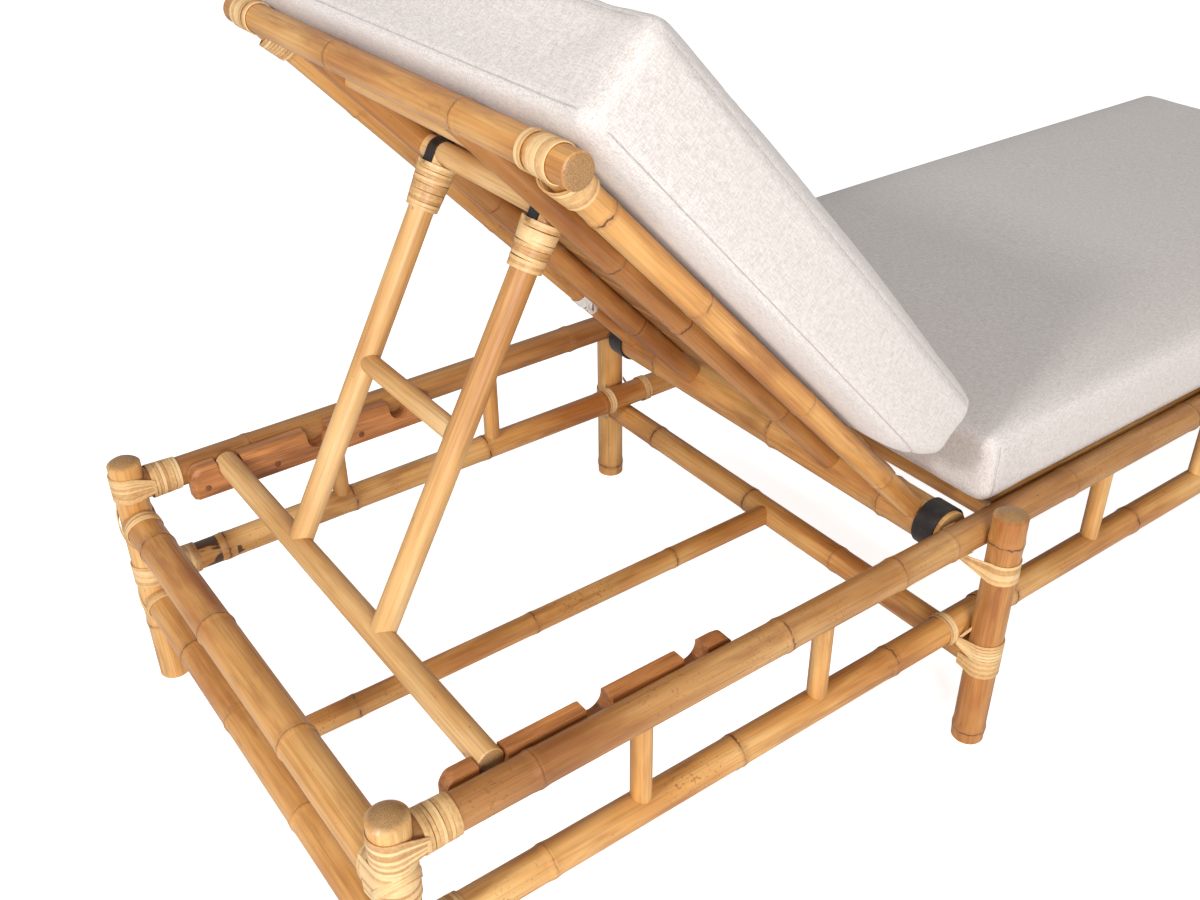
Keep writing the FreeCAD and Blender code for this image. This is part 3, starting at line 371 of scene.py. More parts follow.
# %% Rattan finish
def rattan():
    made, tree, shader = new_finish("peeled_rattan", 0.46, Coat_Weight=0.12, Coat_Roughness=0.35)
    place = object_place(tree)
    shade = marked(tree, "strand")
    flecks = noise(tree, place, 240, 3, 0.6)
    tone = shade_by(tree, 0.6, shade, flecks, 0.5)
    strands = ((0.2, (236, 204, 152)), (0.55, (221, 180, 123)), (0.85, (190, 141, 87)))
    wired(tree, shader, ramp(tree, tone, *strands), noise(tree, place, 700, 2), 0.25, 0.0003)
    return made


RATTAN = rattan()
print("rattan ready")


# %% Linen finish
def linen(name, spin, light=(230, 222, 217), dark=(198, 188, 182)):
    made, tree, shader = new_finish(name, 0.92, Sheen_Weight=0.25, Sheen_Roughness=0.5)
    laid = add(tree, "ShaderNodeMapping", {"Vector": object_place(tree), "Rotation": spin}).outputs[0]
    ways = ((1, 0.14, 1), (0.14, 1, 1), (1, 1, 0.14))
    first, second, third = (noise(tree, stretched(tree, laid, pull), 950, 2, 0.6) for pull in ways)
    woven = times(tree, plus(tree, plus(tree, first, second), third), 1 / 3)
    slubs = noise(tree, laid, 850, 2, 0.5)
    tone = shade_by(tree, 0.85, woven, slubs, 0.15)
    shades = ((0.41, dark), (0.49, halfway(light, dark)), (0.57, light))
    wired(tree, shader, ramp(tree, tone, *shades), woven)
    return made


LINEN_SEAT = linen("linen_seat", (0, 0, 0))
LINEN_BACK = linen("linen_back", (BACK_ANGLE, 0, 0))
# The seam cord's linen is darker: painted shade in the seam's crease
SEAM = linen("seam_cord_painted_shade", (0, 0, 0), (206, 197, 192), (170, 160, 155))
TAPE = linen("cotton_tape", (BACK_ANGLE, 0, 0), (238, 236, 232), (214, 210, 204))
print("linen ready")

# %% [markdown]
# ## Dress the CAD pieces
# A node whose shape is right keeps its mesh and only gets its finish. The table names the finish by
# the way that the pole runs.

# %% Give every frame node its finish
FINISHES = (
    (CULM["up"], ("leg_", "spacer_posts_")),
    (CULM["rail"], ("upper_rail_",)),
    (CULM["along"], ("lower_rail_", "centre_stretcher", "seat_centre_pole", "seat_ledge_")),
    (SCORCHED, ("lower_rail_left",)),
    (CULM["across"], ("head_end_rail_", "foot_end_rail_", "mid_cross_rail", "seat_cross_bars")),
    (CULM["across"], ("pivot_bar", "head_rail", "back_crossbar")),
    (CULM["back"], ("back_side_rail_", "back_ledges")),
    # the darker culm on the poles under the backrest is painted shade
    (CULM["pole"], ("back_pole_",)),
    (PEELED["across"], ("prop_bar", "prop_foot_bar", "prop_rung")),
    (PEELED["prop"], ("prop_strut_",)),
    (SLATTED, ("back_slats", "seat_slats")),
    (TEAK, ("rack_left", "rack_right")),
    (PLUG, ("rack_plugs",)),
    (LEATHER, ("prop_strap_", "pivot_cuff_")),
    (STEEL, ("cuff_screws", "pivot_pins")),
)
DRESS = {start: finish for finish, starts in FINISHES for start in starts}
bare = []
for name, piece in parts.items():
    found = [key for key in DRESS if name.startswith(key)]
    if not found:
        bare.append(name)
        continue
    piece.data.materials.clear()
    piece.data.materials.append(DRESS[max(found, key=len)])
print("left for new pieces:", sorted(bare))


# %% [markdown]
# ## Helpers for modelling by hand
# The operators work on what is selected, as the mouse does, so each piece starts from a clean
# selection. Copies of one modelled piece are placed with a matrix and joined.

# %% Modelling helpers
move = Matrix.Translation


def rotation(angle, axis):
    return Matrix.Rotation(angle, 4, axis)


def fresh():
    bpy.ops.object.select_all(action="DESELECT")


def mode(name):
    bpy.ops.object.mode_set(mode=name)


def face_outward():
    """Turn every face of the piece being edited outward, and leave edit mode."""
    bpy.ops.mesh.select_all(action="SELECT")
    bpy.ops.mesh.normals_make_consistent(inside=False)
    mode("OBJECT")


def pick(piece, want):
    """In edit mode, select the vertices that a test on their place wants."""
    bpy.ops.mesh.select_mode(type="VERT")
    bpy.ops.mesh.select_all(action="DESELECT")
    shape = bmesh.from_edit_mesh(piece.data)
    for vert in shape.verts:
        vert.select = bool(want(vert.co))
    shape.select_flush(True)
    bmesh.update_edit_mesh(piece.data)


def only(piece):
    """Make a piece the only selected one, and the active one."""
    fresh()
    bpy.context.view_layer.objects.active = piece
    piece.select_set(True)


def modify(piece, kind, **settings):
    """Add a modifier and apply it."""
    made = piece.modifiers.new(kind, kind)
    for name, value in settings.items():
        setattr(made, name, value)
    only(piece)
    bpy.ops.object.modifier_apply(modifier=made.name)


def copied(piece, place, **marks):
    """A copy of a piece with its own mesh, moved by a matrix, carrying marks as attributes."""
    made = linked(piece.name, piece.data.copy())
    made.data.transform(place)
    if place.determinant() < 0:
        made.data.flip_normals()
    for mark, value in marks.items():
        layer = made.data.attributes.get(mark) or made.data.attributes.new(mark, "FLOAT", "POINT")
        layer.data.foreach_set("value", [value] * len(made.data.vertices))
    return made


def both_sides(pieces):
    """Pieces, each followed by its mirror image on the other side."""
    return [side for piece in pieces for side in (piece, copied(piece, Matrix.Diagonal((-1, 1, 1, 1))))]


def put_away(*pieces):
    """Remove the patterns that copies were taken from."""
    for piece in pieces:
        bpy.data.objects.remove(piece)


def assembled(name, pieces, finish, body, *stands_for, slot=None, smooth=35):
    """Join copies into one finished piece that rides on a body."""
    fresh()
    for piece in pieces:
        piece.select_set(True)
    bpy.context.view_layer.objects.active = pieces[0]
    bpy.ops.object.join()
    made = bpy.context.view_layer.objects.active
    made.name = made.data.name = name
    made.data.materials.clear()
    made.data.materials.append(finish)
    bpy.ops.object.shade_smooth_by_angle(angle=math.radians(smooth))
    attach(made, body)
    if stands_for:
        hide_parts(*stands_for)
    made.data.calc_loop_triangles()
    print(name, len(made.data.loop_triangles), "triangles")
    return made


def facing_along(direction, roll=0.0):
    """A rotation that lays a piece's own Z along a direction."""
    spin = Vector(direction).to_track_quat("Z", "Y").to_matrix().to_4x4()
    return spin @ rotation(roll, "Z")


print("along X:", [round(v) for v in facing_along((1, 0, 0)).col[2]])

# %% [markdown]
# ## Culm joints
# Every quarter of a metre or so a culm has a joint: a slight swelling with a groove where the sheath
# fell off. A displacement could raise it on the pole itself, but the poles belong to the CAD model, so
# the joint is a thin sleeve over the pole. It is modelled once, from a circle that is extruded and
# resized step by step, and then copied with the pole's own radius.

# %% Model one culm joint
PATTERN_R, AROUND, HALF_JOINT = 0.02, 40, 0.009
# Each height in metres has the culm's swelling there in millimetres
SWELLINGS = [
    (-HALF_JOINT, 0.12), (-0.005, 0.5), (-0.0022, 1.05), (-0.0008, 1.2),
    (0.0, 0.55), (0.0009, 0.95), (0.0035, 0.6), (HALF_JOINT, 0.12),
]
fresh()
start_r = PATTERN_R + SWELLINGS[0][1] / 1000
bpy.ops.mesh.primitive_circle_add(vertices=AROUND, radius=start_r, location=(0, 0, -HALF_JOINT))
joint = bpy.context.active_object
joint.name = "culm_joint"
bpy.ops.object.transform_apply(location=True)
mode("EDIT")
for (below_z, before), (z, swell) in zip(SWELLINGS, SWELLINGS[1:]):
    bpy.ops.mesh.extrude_region_move(TRANSFORM_OT_translate={"value": (0, 0, z - below_z)})
    grow = (PATTERN_R + swell / 1000) / (PATTERN_R + before / 1000)
    bpy.ops.transform.resize(value=(grow, grow, 1), center_override=(0, 0, 0))
face_outward()
mark = joint.data.attributes.new("joint", "FLOAT", "POINT")
for vert in joint.data.vertices:
    mark.data[vert.index].value = JOINT_MARK + vert.co.z / HALF_JOINT
print("joint pattern:", len(joint.data.vertices), "vertices")

# %% [markdown]
# Where the photograph shows a joint, its place is read from it. The other culms get theirs at a
# natural spacing from a seeded list, so that the notebook gives the same lounger each time.

# %% Say where the joints are
chance = random.Random(7)


def spaced(start, end, gap):
    """Places along a culm, about a gap apart and never quite regular."""
    places, here = [], start + chance.uniform(0.25, 0.8) * gap
    while here < end - 0.02:
        places.append(here)
        here += gap * chance.uniform(0.8, 1.2)
    return places


NEAR_UPPER = [-0.86, -0.566, -0.403, -0.322, -0.115, 0.13, 0.385, 0.62, 0.86]
NEAR_LOWER = [-0.851, -0.62, -0.395, -0.19, 0.05, 0.3, 0.54, 0.8]
NEAR_BACK = [0.11, 0.3, 0.5, 0.645]
HEAD_UPPER, HEAD_LOWER = [-0.25, -0.075, 0.127], [-0.19, -0.057, 0.112]
culms = []


def jointed(body, run, axis, origin, radius, places):
    """Note down a culm by its body, its way, a point of its axis, its radius and its joints."""
    culms.append((body, run, axis, Vector(origin), radius, places))


for sign in (-1, 1):
    x, near = sign * LEG_X, sign > 0
    upper_rail = NEAR_UPPER if near else spaced(-0.96, 0.96, 0.25)
    lower_rail = NEAR_LOWER if near else [-0.905, *spaced(-0.85, 0.96, 0.25)]
    jointed("frame", "rail", Y_AXIS, (x, 0, UPPER_Z), UPPER_R, upper_rail)
    jointed("frame", "along", Y_AXIS, (x, 0, LOWER_Z), LOWER_R, lower_rail)
    jointed("frame", "up", Z_AXIS, (x, HEAD_Y, 0), LEG_R, (0.085,))
    jointed("frame", "up", Z_AXIS, (x, -HEAD_Y, 0), LEG_R, (0.06, 0.185))
    jointed("frame", "up", Z_AXIS, (sign * MID_LEG_X, MID_Y, 0), LEG_R, (0.290, 0.016))
    side_rail, pole = PIVOT + X_AXIS * sign * BACK_RAIL_X, PIVOT + X_AXIS * sign * BACK_POLE_X
    places = NEAR_BACK if near else spaced(0.03, 0.68, 0.2)
    jointed("backrest", "back", BACK_UP, side_rail, BACK_RAIL_R, places)
    jointed("backrest", "pole", BACK_UP, pole, BACK_POLE_R, [0.16, 0.37, 0.47 + 0.02 * sign])
for y in (HEAD_Y, -HEAD_Y):
    end_places = HEAD_UPPER if y < 0 else spaced(-0.3, 0.3, 0.17)
    low_places = HEAD_LOWER if y < 0 else spaced(-0.3, 0.3, 0.17)
    jointed("frame", "across", X_AXIS, (0, y, END_UPPER_Z), END_UPPER_R, end_places)
    jointed("frame", "across", X_AXIS, (0, y, END_LOWER_Z), END_LOWER_R, low_places)
jointed("frame", "across", X_AXIS, (0, MID_Y, CROSS_Z), CROSS_R, spaced(-0.33, 0.3, 0.2))
jointed("frame", "along", Y_AXIS, (0, 0, STRETCHER_Z), STRETCHER_R, spaced(-0.97, -0.3, 0.22))
jointed("backrest", "across", X_AXIS, PIVOT, PIVOT_BAR_R, [-0.2, 0.03, 0.215])
jointed("backrest", "across", X_AXIS, HEAD_RAIL, HEAD_RAIL_R, [-0.07, 0.15])
print("culms with joints:", len(culms), "joints:", sum(len(c[5]) for c in culms))

# %% Copy the joints onto the culms
groups = {}
for body, run, axis, origin, radius, places in culms:
    for place in places:
        tilt = rotation(math.radians(chance.uniform(-2, 2)), "X")
        size, length = radius / PATTERN_R, chance.choice((-1, 1)) * chance.uniform(0.85, 1.15)
        spot = move(origin + axis * place) @ facing_along(axis, chance.uniform(0, 6))
        spot = spot @ tilt @ Matrix.Diagonal((size, size, length, 1))
        clear = chance.choice((0.3, 0.55, 0.8, 0.95))
        groups.setdefault((body, run), []).append(copied(joint, spot, clear=clear))
for (body, run), pieces in groups.items():
    assembled(f"culm_joints_{body}_{run}", pieces, CULM[run], body, slot="bamboo", smooth=60)
put_away(joint)


# %% [markdown]
# ## Eased ends
# The sawn ends of the head rail, the foot bar and the pivot bar are sanded round. The CAD poles end
# flat, so each end gets a thin dome: a circle, extruded and drawn in four times, and closed.

# %% Model an eased end and copy it
fresh()
bpy.ops.mesh.primitive_circle_add(vertices=AROUND, radius=1.0)
eased = bpy.context.active_object
mode("EDIT")
for lift, draw in ((0.05, 0.97), (0.05, 0.92), (0.04, 0.75), (0.02, 0.4)):
    bpy.ops.mesh.extrude_region_move(TRANSFORM_OT_translate={"value": (0, 0, lift)})
    bpy.ops.transform.resize(value=(draw, draw, 1), center_override=(0, 0, 0))
bpy.ops.mesh.fill()
face_outward()
for name, body, centre, reach, radius, finish in (
    ("head_rail_ends", "backrest", HEAD_RAIL, 0.303, HEAD_RAIL_R, CULM["across"]),
    ("pivot_bar_ends", "backrest", PIVOT, 0.303, PIVOT_BAR_R, CULM["across"]),
    ("foot_bar_ends", "prop", FOOT_BAR, 0.300, FOOT_BAR_R, PEELED["across"]),
):
    pair = []
    for sign in (-1, 1):
        size = Matrix.Diagonal((radius, radius, min(radius, 0.016), 1))
        spot = move(centre + X_AXIS * sign * reach) @ facing_along(X_AXIS * sign) @ size
        pair.append(copied(eased, spot))
    assembled(name, pair, finish, body, slot="bamboo", smooth=50)
put_away(eased)


# %% [markdown]
# ## Rattan strands
# A binding is a flat strand wound and crossed until it holds two poles together. A curve with a bevel
# would give round string; the real strand is a flat strip with soft edges. So the strand is modelled
# as a ribbon: an open cylinder wall, pulled oval or cut open, thickened with Solidify and softened
# with Bevel. Whole rings, oval loops and open slings all come from the same few steps.

# %% Model a strand
# A strand's width and thickness, the pitch of a winding, and the gaps under a ring and a sling
STRAND_W, STRAND_T, PITCH = 0.0037, 0.0013, 0.0039
UNDER_RING, UNDER_SLING = 0.0003, 0.0004
SOFT_EDGE = {"segments": 1, "limit_method": "ANGLE", "angle_limit": math.radians(50)}


def strand(radius, stretch=1.0, tail=None, width=STRAND_W, thick=STRAND_T):
    """A flat strand round its own Z: a ring, an oval along X, or a sling with two tails along X."""
    fresh()
    bpy.ops.mesh.primitive_cylinder_add(
        vertices=AROUND, radius=radius, depth=width, end_fill_type="NOTHING"
    )
    made = bpy.context.active_object
    mode("EDIT")
    bpy.ops.mesh.select_all(action="SELECT")
    bpy.ops.transform.resize(value=(stretch, 1, 1))
    if tail is not None:
        pick(made, lambda co: co.x > 1e-5)
        bpy.ops.mesh.delete(type="VERT")
        pick(made, lambda co: abs(co.x) < 1e-5)
        bpy.ops.mesh.extrude_region_move(TRANSFORM_OT_translate={"value": (tail, 0, 0)})
    mode("OBJECT")
    modify(made, "SOLIDIFY", thickness=thick, offset=1.0)
    modify(made, "BEVEL", width=0.00035, **SOFT_EDGE)
    return made


def shaded(pattern, spot):
    """A copy of a strand with its own shade."""
    return copied(pattern, spot, strand=chance.random())


ring = strand(UPPER_R)
print("strand pattern:", len(ring.data.polygons), "faces")
put_away(ring)


# %% [markdown]
# The corner bindings are all alike, so one function lays the strands of a corner, and each corner is
# its mirror image: a close winding on the side rail, a sling from it round the leg under the domed
# top, and slanting loops over the end rail and round the leg's outside.

# %% Lay the strands of one corner
def turns(pattern, count, start, pitch, axis, centre, swell=0.0):
    """Rings side by side along an axis, each a little askew."""
    rings = []
    for i in range(count):
        askew = rotation(math.radians(chance.uniform(-1.6, 1.6)), "X")
        wide = 1 + swell * (count - 1 - i) / max(count - 1, 1) + chance.uniform(0, 0.012)
        shape = Matrix.Diagonal((wide, wide, chance.uniform(0.94, 1.06), 1))
        spot = move(Vector(centre) + Vector(axis) * (start + i * pitch))
        spot = spot @ facing_along(axis, chance.uniform(0, 6)) @ askew @ shape
        rings.append(shaded(pattern, spot))
    return rings


def converging(piece, origin, along, length, level, share, draw=0.0):
    """Let the tails of a sling close up toward a level, and draw them in."""
    for vert in piece.data.vertices:
        reach = min(max((vert.co - origin).dot(along) / length, 0), 1)
        vert.co.z += (level - vert.co.z) * (1 - share) * reach
        side = along.cross(Z_AXIS)
        off = (vert.co - origin).dot(side)
        vert.co -= side * off * draw * reach


def slanted(top, low, radius, y):
    """A loop of strand that stands in Y and leans from a top point to a low point."""
    lean = (low - top).normalized()
    half = (low - top).length / 2
    loop = strand(radius, stretch=half / radius)
    basis = Matrix((lean, Y_AXIS, lean.cross(Y_AXIS))).transposed().to_4x4()
    made = shaded(loop, move((top + low) / 2 + Y_AXIS * y) @ basis)
    put_away(loop)
    return made


OUTWARD = rotation(math.pi, "Z")
CORNER_TAIL, WRAP_TAIL, LEG_TAIL, LONG_TAIL = 0.026, 0.020, 0.021, 0.036


def slung(pattern, leg, z, turn, along, tail, level, share, draw):
    """A sling round a leg at a height, with its tails led toward a level."""
    made = shaded(pattern, move(leg + Z_AXIS * z) @ turn)
    converging(made, leg, along, tail, level, share, draw)
    return made


def corner(seed, rail_z, rail_r, end_z, end_r, slings, wraps, loops):
    """The strands of the corner at plus X and minus Y."""
    chance.seed(seed)
    leg, first = Vector((LEG_X, HEAD_Y, 0)), rail_z + 0.0205
    rail_ring = strand(rail_r + UNDER_RING)
    laid = turns(rail_ring, 9, HEAD_Y + 0.025, PITCH, Y_AXIS, (LEG_X, 0, rail_z), 0.05)
    sling = strand(LEG_R + UNDER_SLING, tail=CORNER_TAIL)
    for i in range(slings):
        turn = rotation(QUARTER, "Z") @ rotation(chance.uniform(-0.02, 0.02), "X")
        z = first - i * STRAND_W
        laid.append(slung(sling, leg, z, turn, Y_AXIS, CORNER_TAIL, rail_z, 0.5, 0.04))
    wrap = strand(LEG_R + 0.0006, tail=WRAP_TAIL)
    for i in range(slings, slings + wraps):
        z, turn = first - i * STRAND_W, OUTWARD @ rotation(chance.uniform(0.0, 0.07), "Y")
        laid.append(slung(wrap, leg, z, turn, -X_AXIS, WRAP_TAIL, z, 1.0, -0.075))
    put_away(rail_ring, sling, wrap)
    reach = max(LEG_R, end_r) + UNDER_SLING
    inner = LEG_X - LEG_R
    for i in range(loops):
        top = Vector((inner - 0.003 - 0.0034 * i, 0, end_z + end_r + 0.0006))
        low = Vector((inner - 0.0016 + 0.0004 * i, 0, end_z - end_r - 0.0006))
        laid.append(slanted(top, low, end_r + UNDER_SLING, HEAD_Y))
    for i in range(loops - 1):
        top = Vector((LEG_X + LEG_R + 0.0008, 0, end_z + end_r + 0.0085 - 0.0035 * i))
        low = Vector((inner - 0.0012, 0, end_z - end_r - 0.0045 - 0.0028 * i))
        laid.append(slanted(top, low, reach, HEAD_Y))
    return laid


# %% Bind the four corners
for where, flip_y in (("head", 1), ("foot", -1)):
    laid = []
    for seed, flip_x in ((11, 1), (23, -1)):
        wrapped = 13 if flip_x > 0 and where == "head" else 0
        upper = corner(seed, UPPER_Z, UPPER_R, END_UPPER_Z, END_UPPER_R, 9, wrapped, 5)
        lower = corner(seed + 5, LOWER_Z, LOWER_R, END_LOWER_Z, END_LOWER_R, 8, 0, 4)
        for piece in upper + lower:
            piece.data.transform(Matrix.Diagonal((flip_x, flip_y, 1, 1)))
            if flip_x * flip_y < 0:
                piece.data.flip_normals()
            laid.append(piece)
    stands_for = f"{where}_corner_bindings"
    assembled(f"rattan_{where}_corners", laid, RATTAN, "frame", stands_for, slot="rattan")

# %% [markdown]
# The middle legs stand outside the rails. Half rings under the upper rail hold a sling that passes
# round the leg, and lower down the strands take the leg, the lower rail and the cross rail together,
# with two crossed strands in the corner between them.

# %% Bind the middle legs
chance.seed(41)
leg = Vector((MID_LEG_X, MID_Y, 0))
low_ring = strand(LOWER_R + UNDER_RING)
under = strand(UPPER_R + UNDER_RING, tail=0.0)
inner_low = Matrix(((0.6, 0.8, 0), (0, 0, 1), (0.8, -0.6, 0))).to_4x4()
side = []
for start in (-0.3070, -0.2482):
    for i in range(4):
        spot = move((LEG_X, start + PITCH * i, UPPER_Z)) @ inner_low
        side.append(shaded(under, spot))
for start in (-0.3075, -0.2405):
    side += turns(low_ring, 3, start, 0.0041, Y_AXIS, (LEG_X, 0, LOWER_Z))
sling, long_sling = (strand(LEG_R + UNDER_SLING, tail=tail) for tail in (LEG_TAIL, LONG_TAIL))
for pattern, tail, count, highest, pitch, slope, level, share, draw in (
    (long_sling, LONG_TAIL, 7, 0.2655, STRAND_W, 0.0, UPPER_Z - UPPER_R - 0.0015, 0.22, -0.5),
    (sling, LEG_TAIL, 6, 0.150, 0.0042, 0.10, LOWER_Z, 0.5, -0.3),
    (sling, LEG_TAIL, 6, 0.1262, STRAND_W, 0.0, CROSS_Z, 0.75, 0.06),
):
    for i in range(count):
        turn = OUTWARD @ rotation(slope * (1 - i / 5), "Y")
        side.append(slung(pattern, leg, highest - i * pitch, turn, -X_AXIS, tail, level, share, draw))
put_away(under, low_ring, sling, long_sling)
print("strands at a middle leg:", len(side))

# %% Cross two strands in each inner corner
fresh()
bpy.ops.mesh.primitive_cube_add(size=1)
tie_strand = bpy.context.active_object
tie_strand.data.transform(Matrix.Diagonal((0.0026, 0.0012, 1, 1)))
mode("EDIT")
bpy.ops.mesh.select_all(action="SELECT")
bpy.ops.mesh.subdivide(number_cuts=3)
mode("OBJECT")
modify(tie_strand, "BEVEL", width=0.0003, **SOFT_EDGE)
for way in (-1, 1):
    by_rail, by_leg = MID_Y + way * 0.0275, MID_Y + way * 0.0175
    for offset in (0.0, 0.0028):
        ends = (
            (Vector((0.3325, by_rail, 0.171 - offset)), Vector((0.352, by_leg, 0.134 - offset))),
            (Vector((0.3525, by_leg, 0.166 + offset)), Vector((0.336, by_rail, 0.137 + offset))),
        )
        for a, b in ends:
            spot = move((a + b) / 2) @ facing_along(b - a)
            spot = spot @ Matrix.Diagonal((1, 1, (b - a).length, 1))
            side.append(shaded(tie_strand, spot))
put_away(tie_strand)
assembled("rattan_mid_legs", both_sides(side), RATTAN, "frame", "mid_leg_bindings", slot="rattan")

# %% [markdown]
# At the top of the back the head rail is wound beside each side rail, and wider turns fan out round
# the side rail just under it. The strut tops are wound in a cone over the ends of the leather straps.
# The cone is flat where it would meet the slats when the prop is swung out.

# %% Bind the head rail
chance.seed(59)
rail_ring, side_ring = strand(HEAD_RAIL_R + UNDER_RING), strand(BACK_RAIL_R + UNDER_RING)
near = turns(rail_ring, 7, 0.2585, 0.0038, X_AXIS, HEAD_RAIL)
near += turns(rail_ring, 2, 0.2465, 0.0040, X_AXIS, HEAD_RAIL)
for i in range(9):
    swing = Matrix.Rotation(math.radians(19 - 1.8 * i), 4, BACK_OUT)
    spot = move(PIVOT + BACK_UP * (0.7005 - 0.0032 * i) + X_AXIS * 0.258)
    wide = Matrix.Diagonal((1.25 - 0.022 * i, 1.25 - 0.022 * i, 0.9, 1))
    near.append(shaded(side_ring, spot @ swing @ facing_along(BACK_UP) @ wide))
put_away(rail_ring, side_ring)
assembled("rattan_head_rail", both_sides(near), RATTAN, "backrest", "head_rail_bindings", slot="rattan")

# %% Wind the strut tops
laid = []
slats = parts["back_slats"]
slat_floor = min((slats.matrix_world @ v.co - PIVOT).dot(BACK_OUT) for v in slats.data.vertices)
SLAT_GAP = 0.0008
toward_slats = Matrix.Rotation(PROP_SWING, 3, "X") @ BACK_OUT
print("slats start", round(slat_floor, 4), "above the prop bar's axis")
for sign in (-1, 1):
    chance.seed(71 + sign)
    for i in range(13):
        below_top = 0.0145 + 0.0036 * i
        ring = strand(0.0188 - 0.00027 * i + chance.uniform(0, 0.0003))
        spot = move(PROP_TOP - PROP_UP * below_top + X_AXIS * sign * STRUT_X)
        askew = rotation(math.radians(chance.uniform(-2.5, 2.5)), "X")
        spot = spot @ facing_along(PROP_UP, chance.uniform(0, 6)) @ askew
        made = shaded(ring, spot)
        for vert in made.data.vertices:
            over = (vert.co - PROP_TOP).dot(toward_slats) - (slat_floor - SLAT_GAP)
            if over > 0:
                vert.co -= toward_slats * over
        laid.append(made)
        put_away(ring)
assembled("rattan_strut_tops", laid, RATTAN, "prop", "prop_bindings", slot="rattan")


# %% [markdown]
# ## Cushions
# A filled cushion is tight in the middle of its faces and pulled in at its seams. Sculpting that by
# hand takes long; a cloth simulation with inner pressure swells the plain pad by itself. The CAD pad
# is copied, drawn in a little, remeshed evenly, blown up for twenty frames and held close to its own
# space.

# %% Stuff a cushion
DRAWN_IN, SWELL_LIMIT, CLOTH_FRAMES = 0.002, 0.005, 20


def normals_of(piece):
    return [v.normal.copy() for v in piece.data.vertices]


def swollen(made, limit):
    """Blow the cover up as cloth, and let no point go further than a limit."""
    before = [v.co.copy() for v in made.data.vertices]
    cloth = made.modifiers.new("Cloth", "CLOTH")
    settings = cloth.settings
    settings.quality = 5
    settings.use_pressure = True
    settings.uniform_pressure_force = 4.0
    settings.tension_stiffness = settings.compression_stiffness = 12
    settings.bending_stiffness = 0.4
    settings.effector_weights.gravity = 0
    cloth.point_cache.frame_start, cloth.point_cache.frame_end = 1, CLOTH_FRAMES
    for frame_number in range(1, CLOTH_FRAMES + 1):
        bpy.context.scene.frame_set(frame_number)
    puffed = made.evaluated_get(bpy.context.evaluated_depsgraph_get()).to_mesh()
    after = [v.co.copy() for v in puffed.vertices]
    made.modifiers.remove(cloth)
    bpy.context.scene.frame_set(1)
    for vert, a, b in zip(made.data.vertices, before, after):
        step = b - a
        vert.co = a + step * min(1.0, limit / max(step.length, 1e-9))


def stuffed(name, node, voxel, finish, body):
    """A soft cover from a CAD cushion, simulated, smoothed and tied to its node."""
    made = linked(name, parts[node].data.copy())
    made.data.materials.clear()
    made.data.materials.append(finish)
    shape = bmesh.new()
    shape.from_mesh(made.data)
    bmesh.ops.remove_doubles(shape, verts=shape.verts, dist=1e-5)
    shape.to_mesh(made.data)
    shape.free()
    made.data.remesh_voxel_size = voxel
    only(made)
    bpy.ops.object.voxel_remesh()
    for vert, normal in zip(made.data.vertices, normals_of(made)):
        vert.co -= normal * DRAWN_IN
    swollen(made, SWELL_LIMIT)
    modify(made, "SMOOTH", factor=0.5, iterations=2)
    modify(made, "SUBSURF", levels=1, render_levels=1)
    for face in made.data.polygons:
        face.use_smooth = True
    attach(made, body)
    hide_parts(node)
    print(name, len(made.data.vertices), "points")
    return made


seat_pad = stuffed("seat_cushion_cover", "seat_cushion", 0.009, LINEN_SEAT, "frame")
back_pad = stuffed("back_cushion_cover", "back_cushion", 0.0075, LINEN_BACK, "backrest")

# %% [markdown]
# The top of a box cushion rises quickly just inside its seam and then stays nearly level, and the
# side band swells between its two seams. The simulation gives this only in part, so the cover's
# points are moved a few millimetres further. Then seams are laid round each cushion and up the seat's
# two head corners: rays from inside find the cover, the cover is drawn in there, and a thin cord of
# the same cloth, coloured darker as painted shade, lies in the crease.

# %% Fill out the faces
class Pad:
    """Where a cushion lies: its origin, the way its length runs, the way it faces, and its sizes."""

    def __init__(self, cover, origin, along, out, half, start, end, floor, top):
        self.cover, self.origin, self.along, self.out = cover, origin, along, out
        self.half, self.start, self.end, self.floor, self.top = half, start, end, floor, top

    def local(self, co):
        away = co - self.origin
        return away.x, away.dot(self.along), away.dot(self.out)

    def at(self, x, run, rise):
        return self.origin + X_AXIS * x + self.along * run + self.out * rise


SEAT = Pad(seat_pad, Vector((0, 0, 0)), Y_AXIS, Z_AXIS, 0.325, -0.268, 0.975, 0.303, 0.389)
BACK = Pad(back_pad, PIVOT, BACK_UP, BACK_OUT, 0.322, 0.124, 0.757, 0.0203, 0.1123)


def fill_out(pad, rise, band):
    """Raise the top face by rise, and swell the side bands by band."""
    middle = (pad.floor + pad.top) / 2
    for vert in pad.cover.data.vertices:
        x, run, height = pad.local(vert.co)
        inside = max(0.0, min(pad.half - abs(x), run - pad.start, pad.end - run))
        high = min(max((height - middle) / (pad.top - 0.006 - middle), 0.0), 1.0)
        vert.co += pad.out * rise * (1 - math.exp(-inside / 0.02)) * high ** 3
        belt = math.sin(math.pi * min(max((height - pad.floor) / (pad.top - pad.floor), 0.0), 1.0))
        near_side = math.exp(-max(0.0, pad.half - abs(x)) / 0.012)
        ends = min(run - pad.start, pad.end - run)
        vert.co.x += math.copysign(band * belt * near_side * (1 - math.exp(-max(ends, 0.0) / 0.03)), x)


fill_out(SEAT, 0.0075, 0.002)
fill_out(BACK, 0.0085, 0.003)
print("filled out")


# %% Find where the seams run
CORNER_RAYS, SEAT_SEAM, BACK_SEAMS = 9, 0.3135, (0.0315, 0.1068)


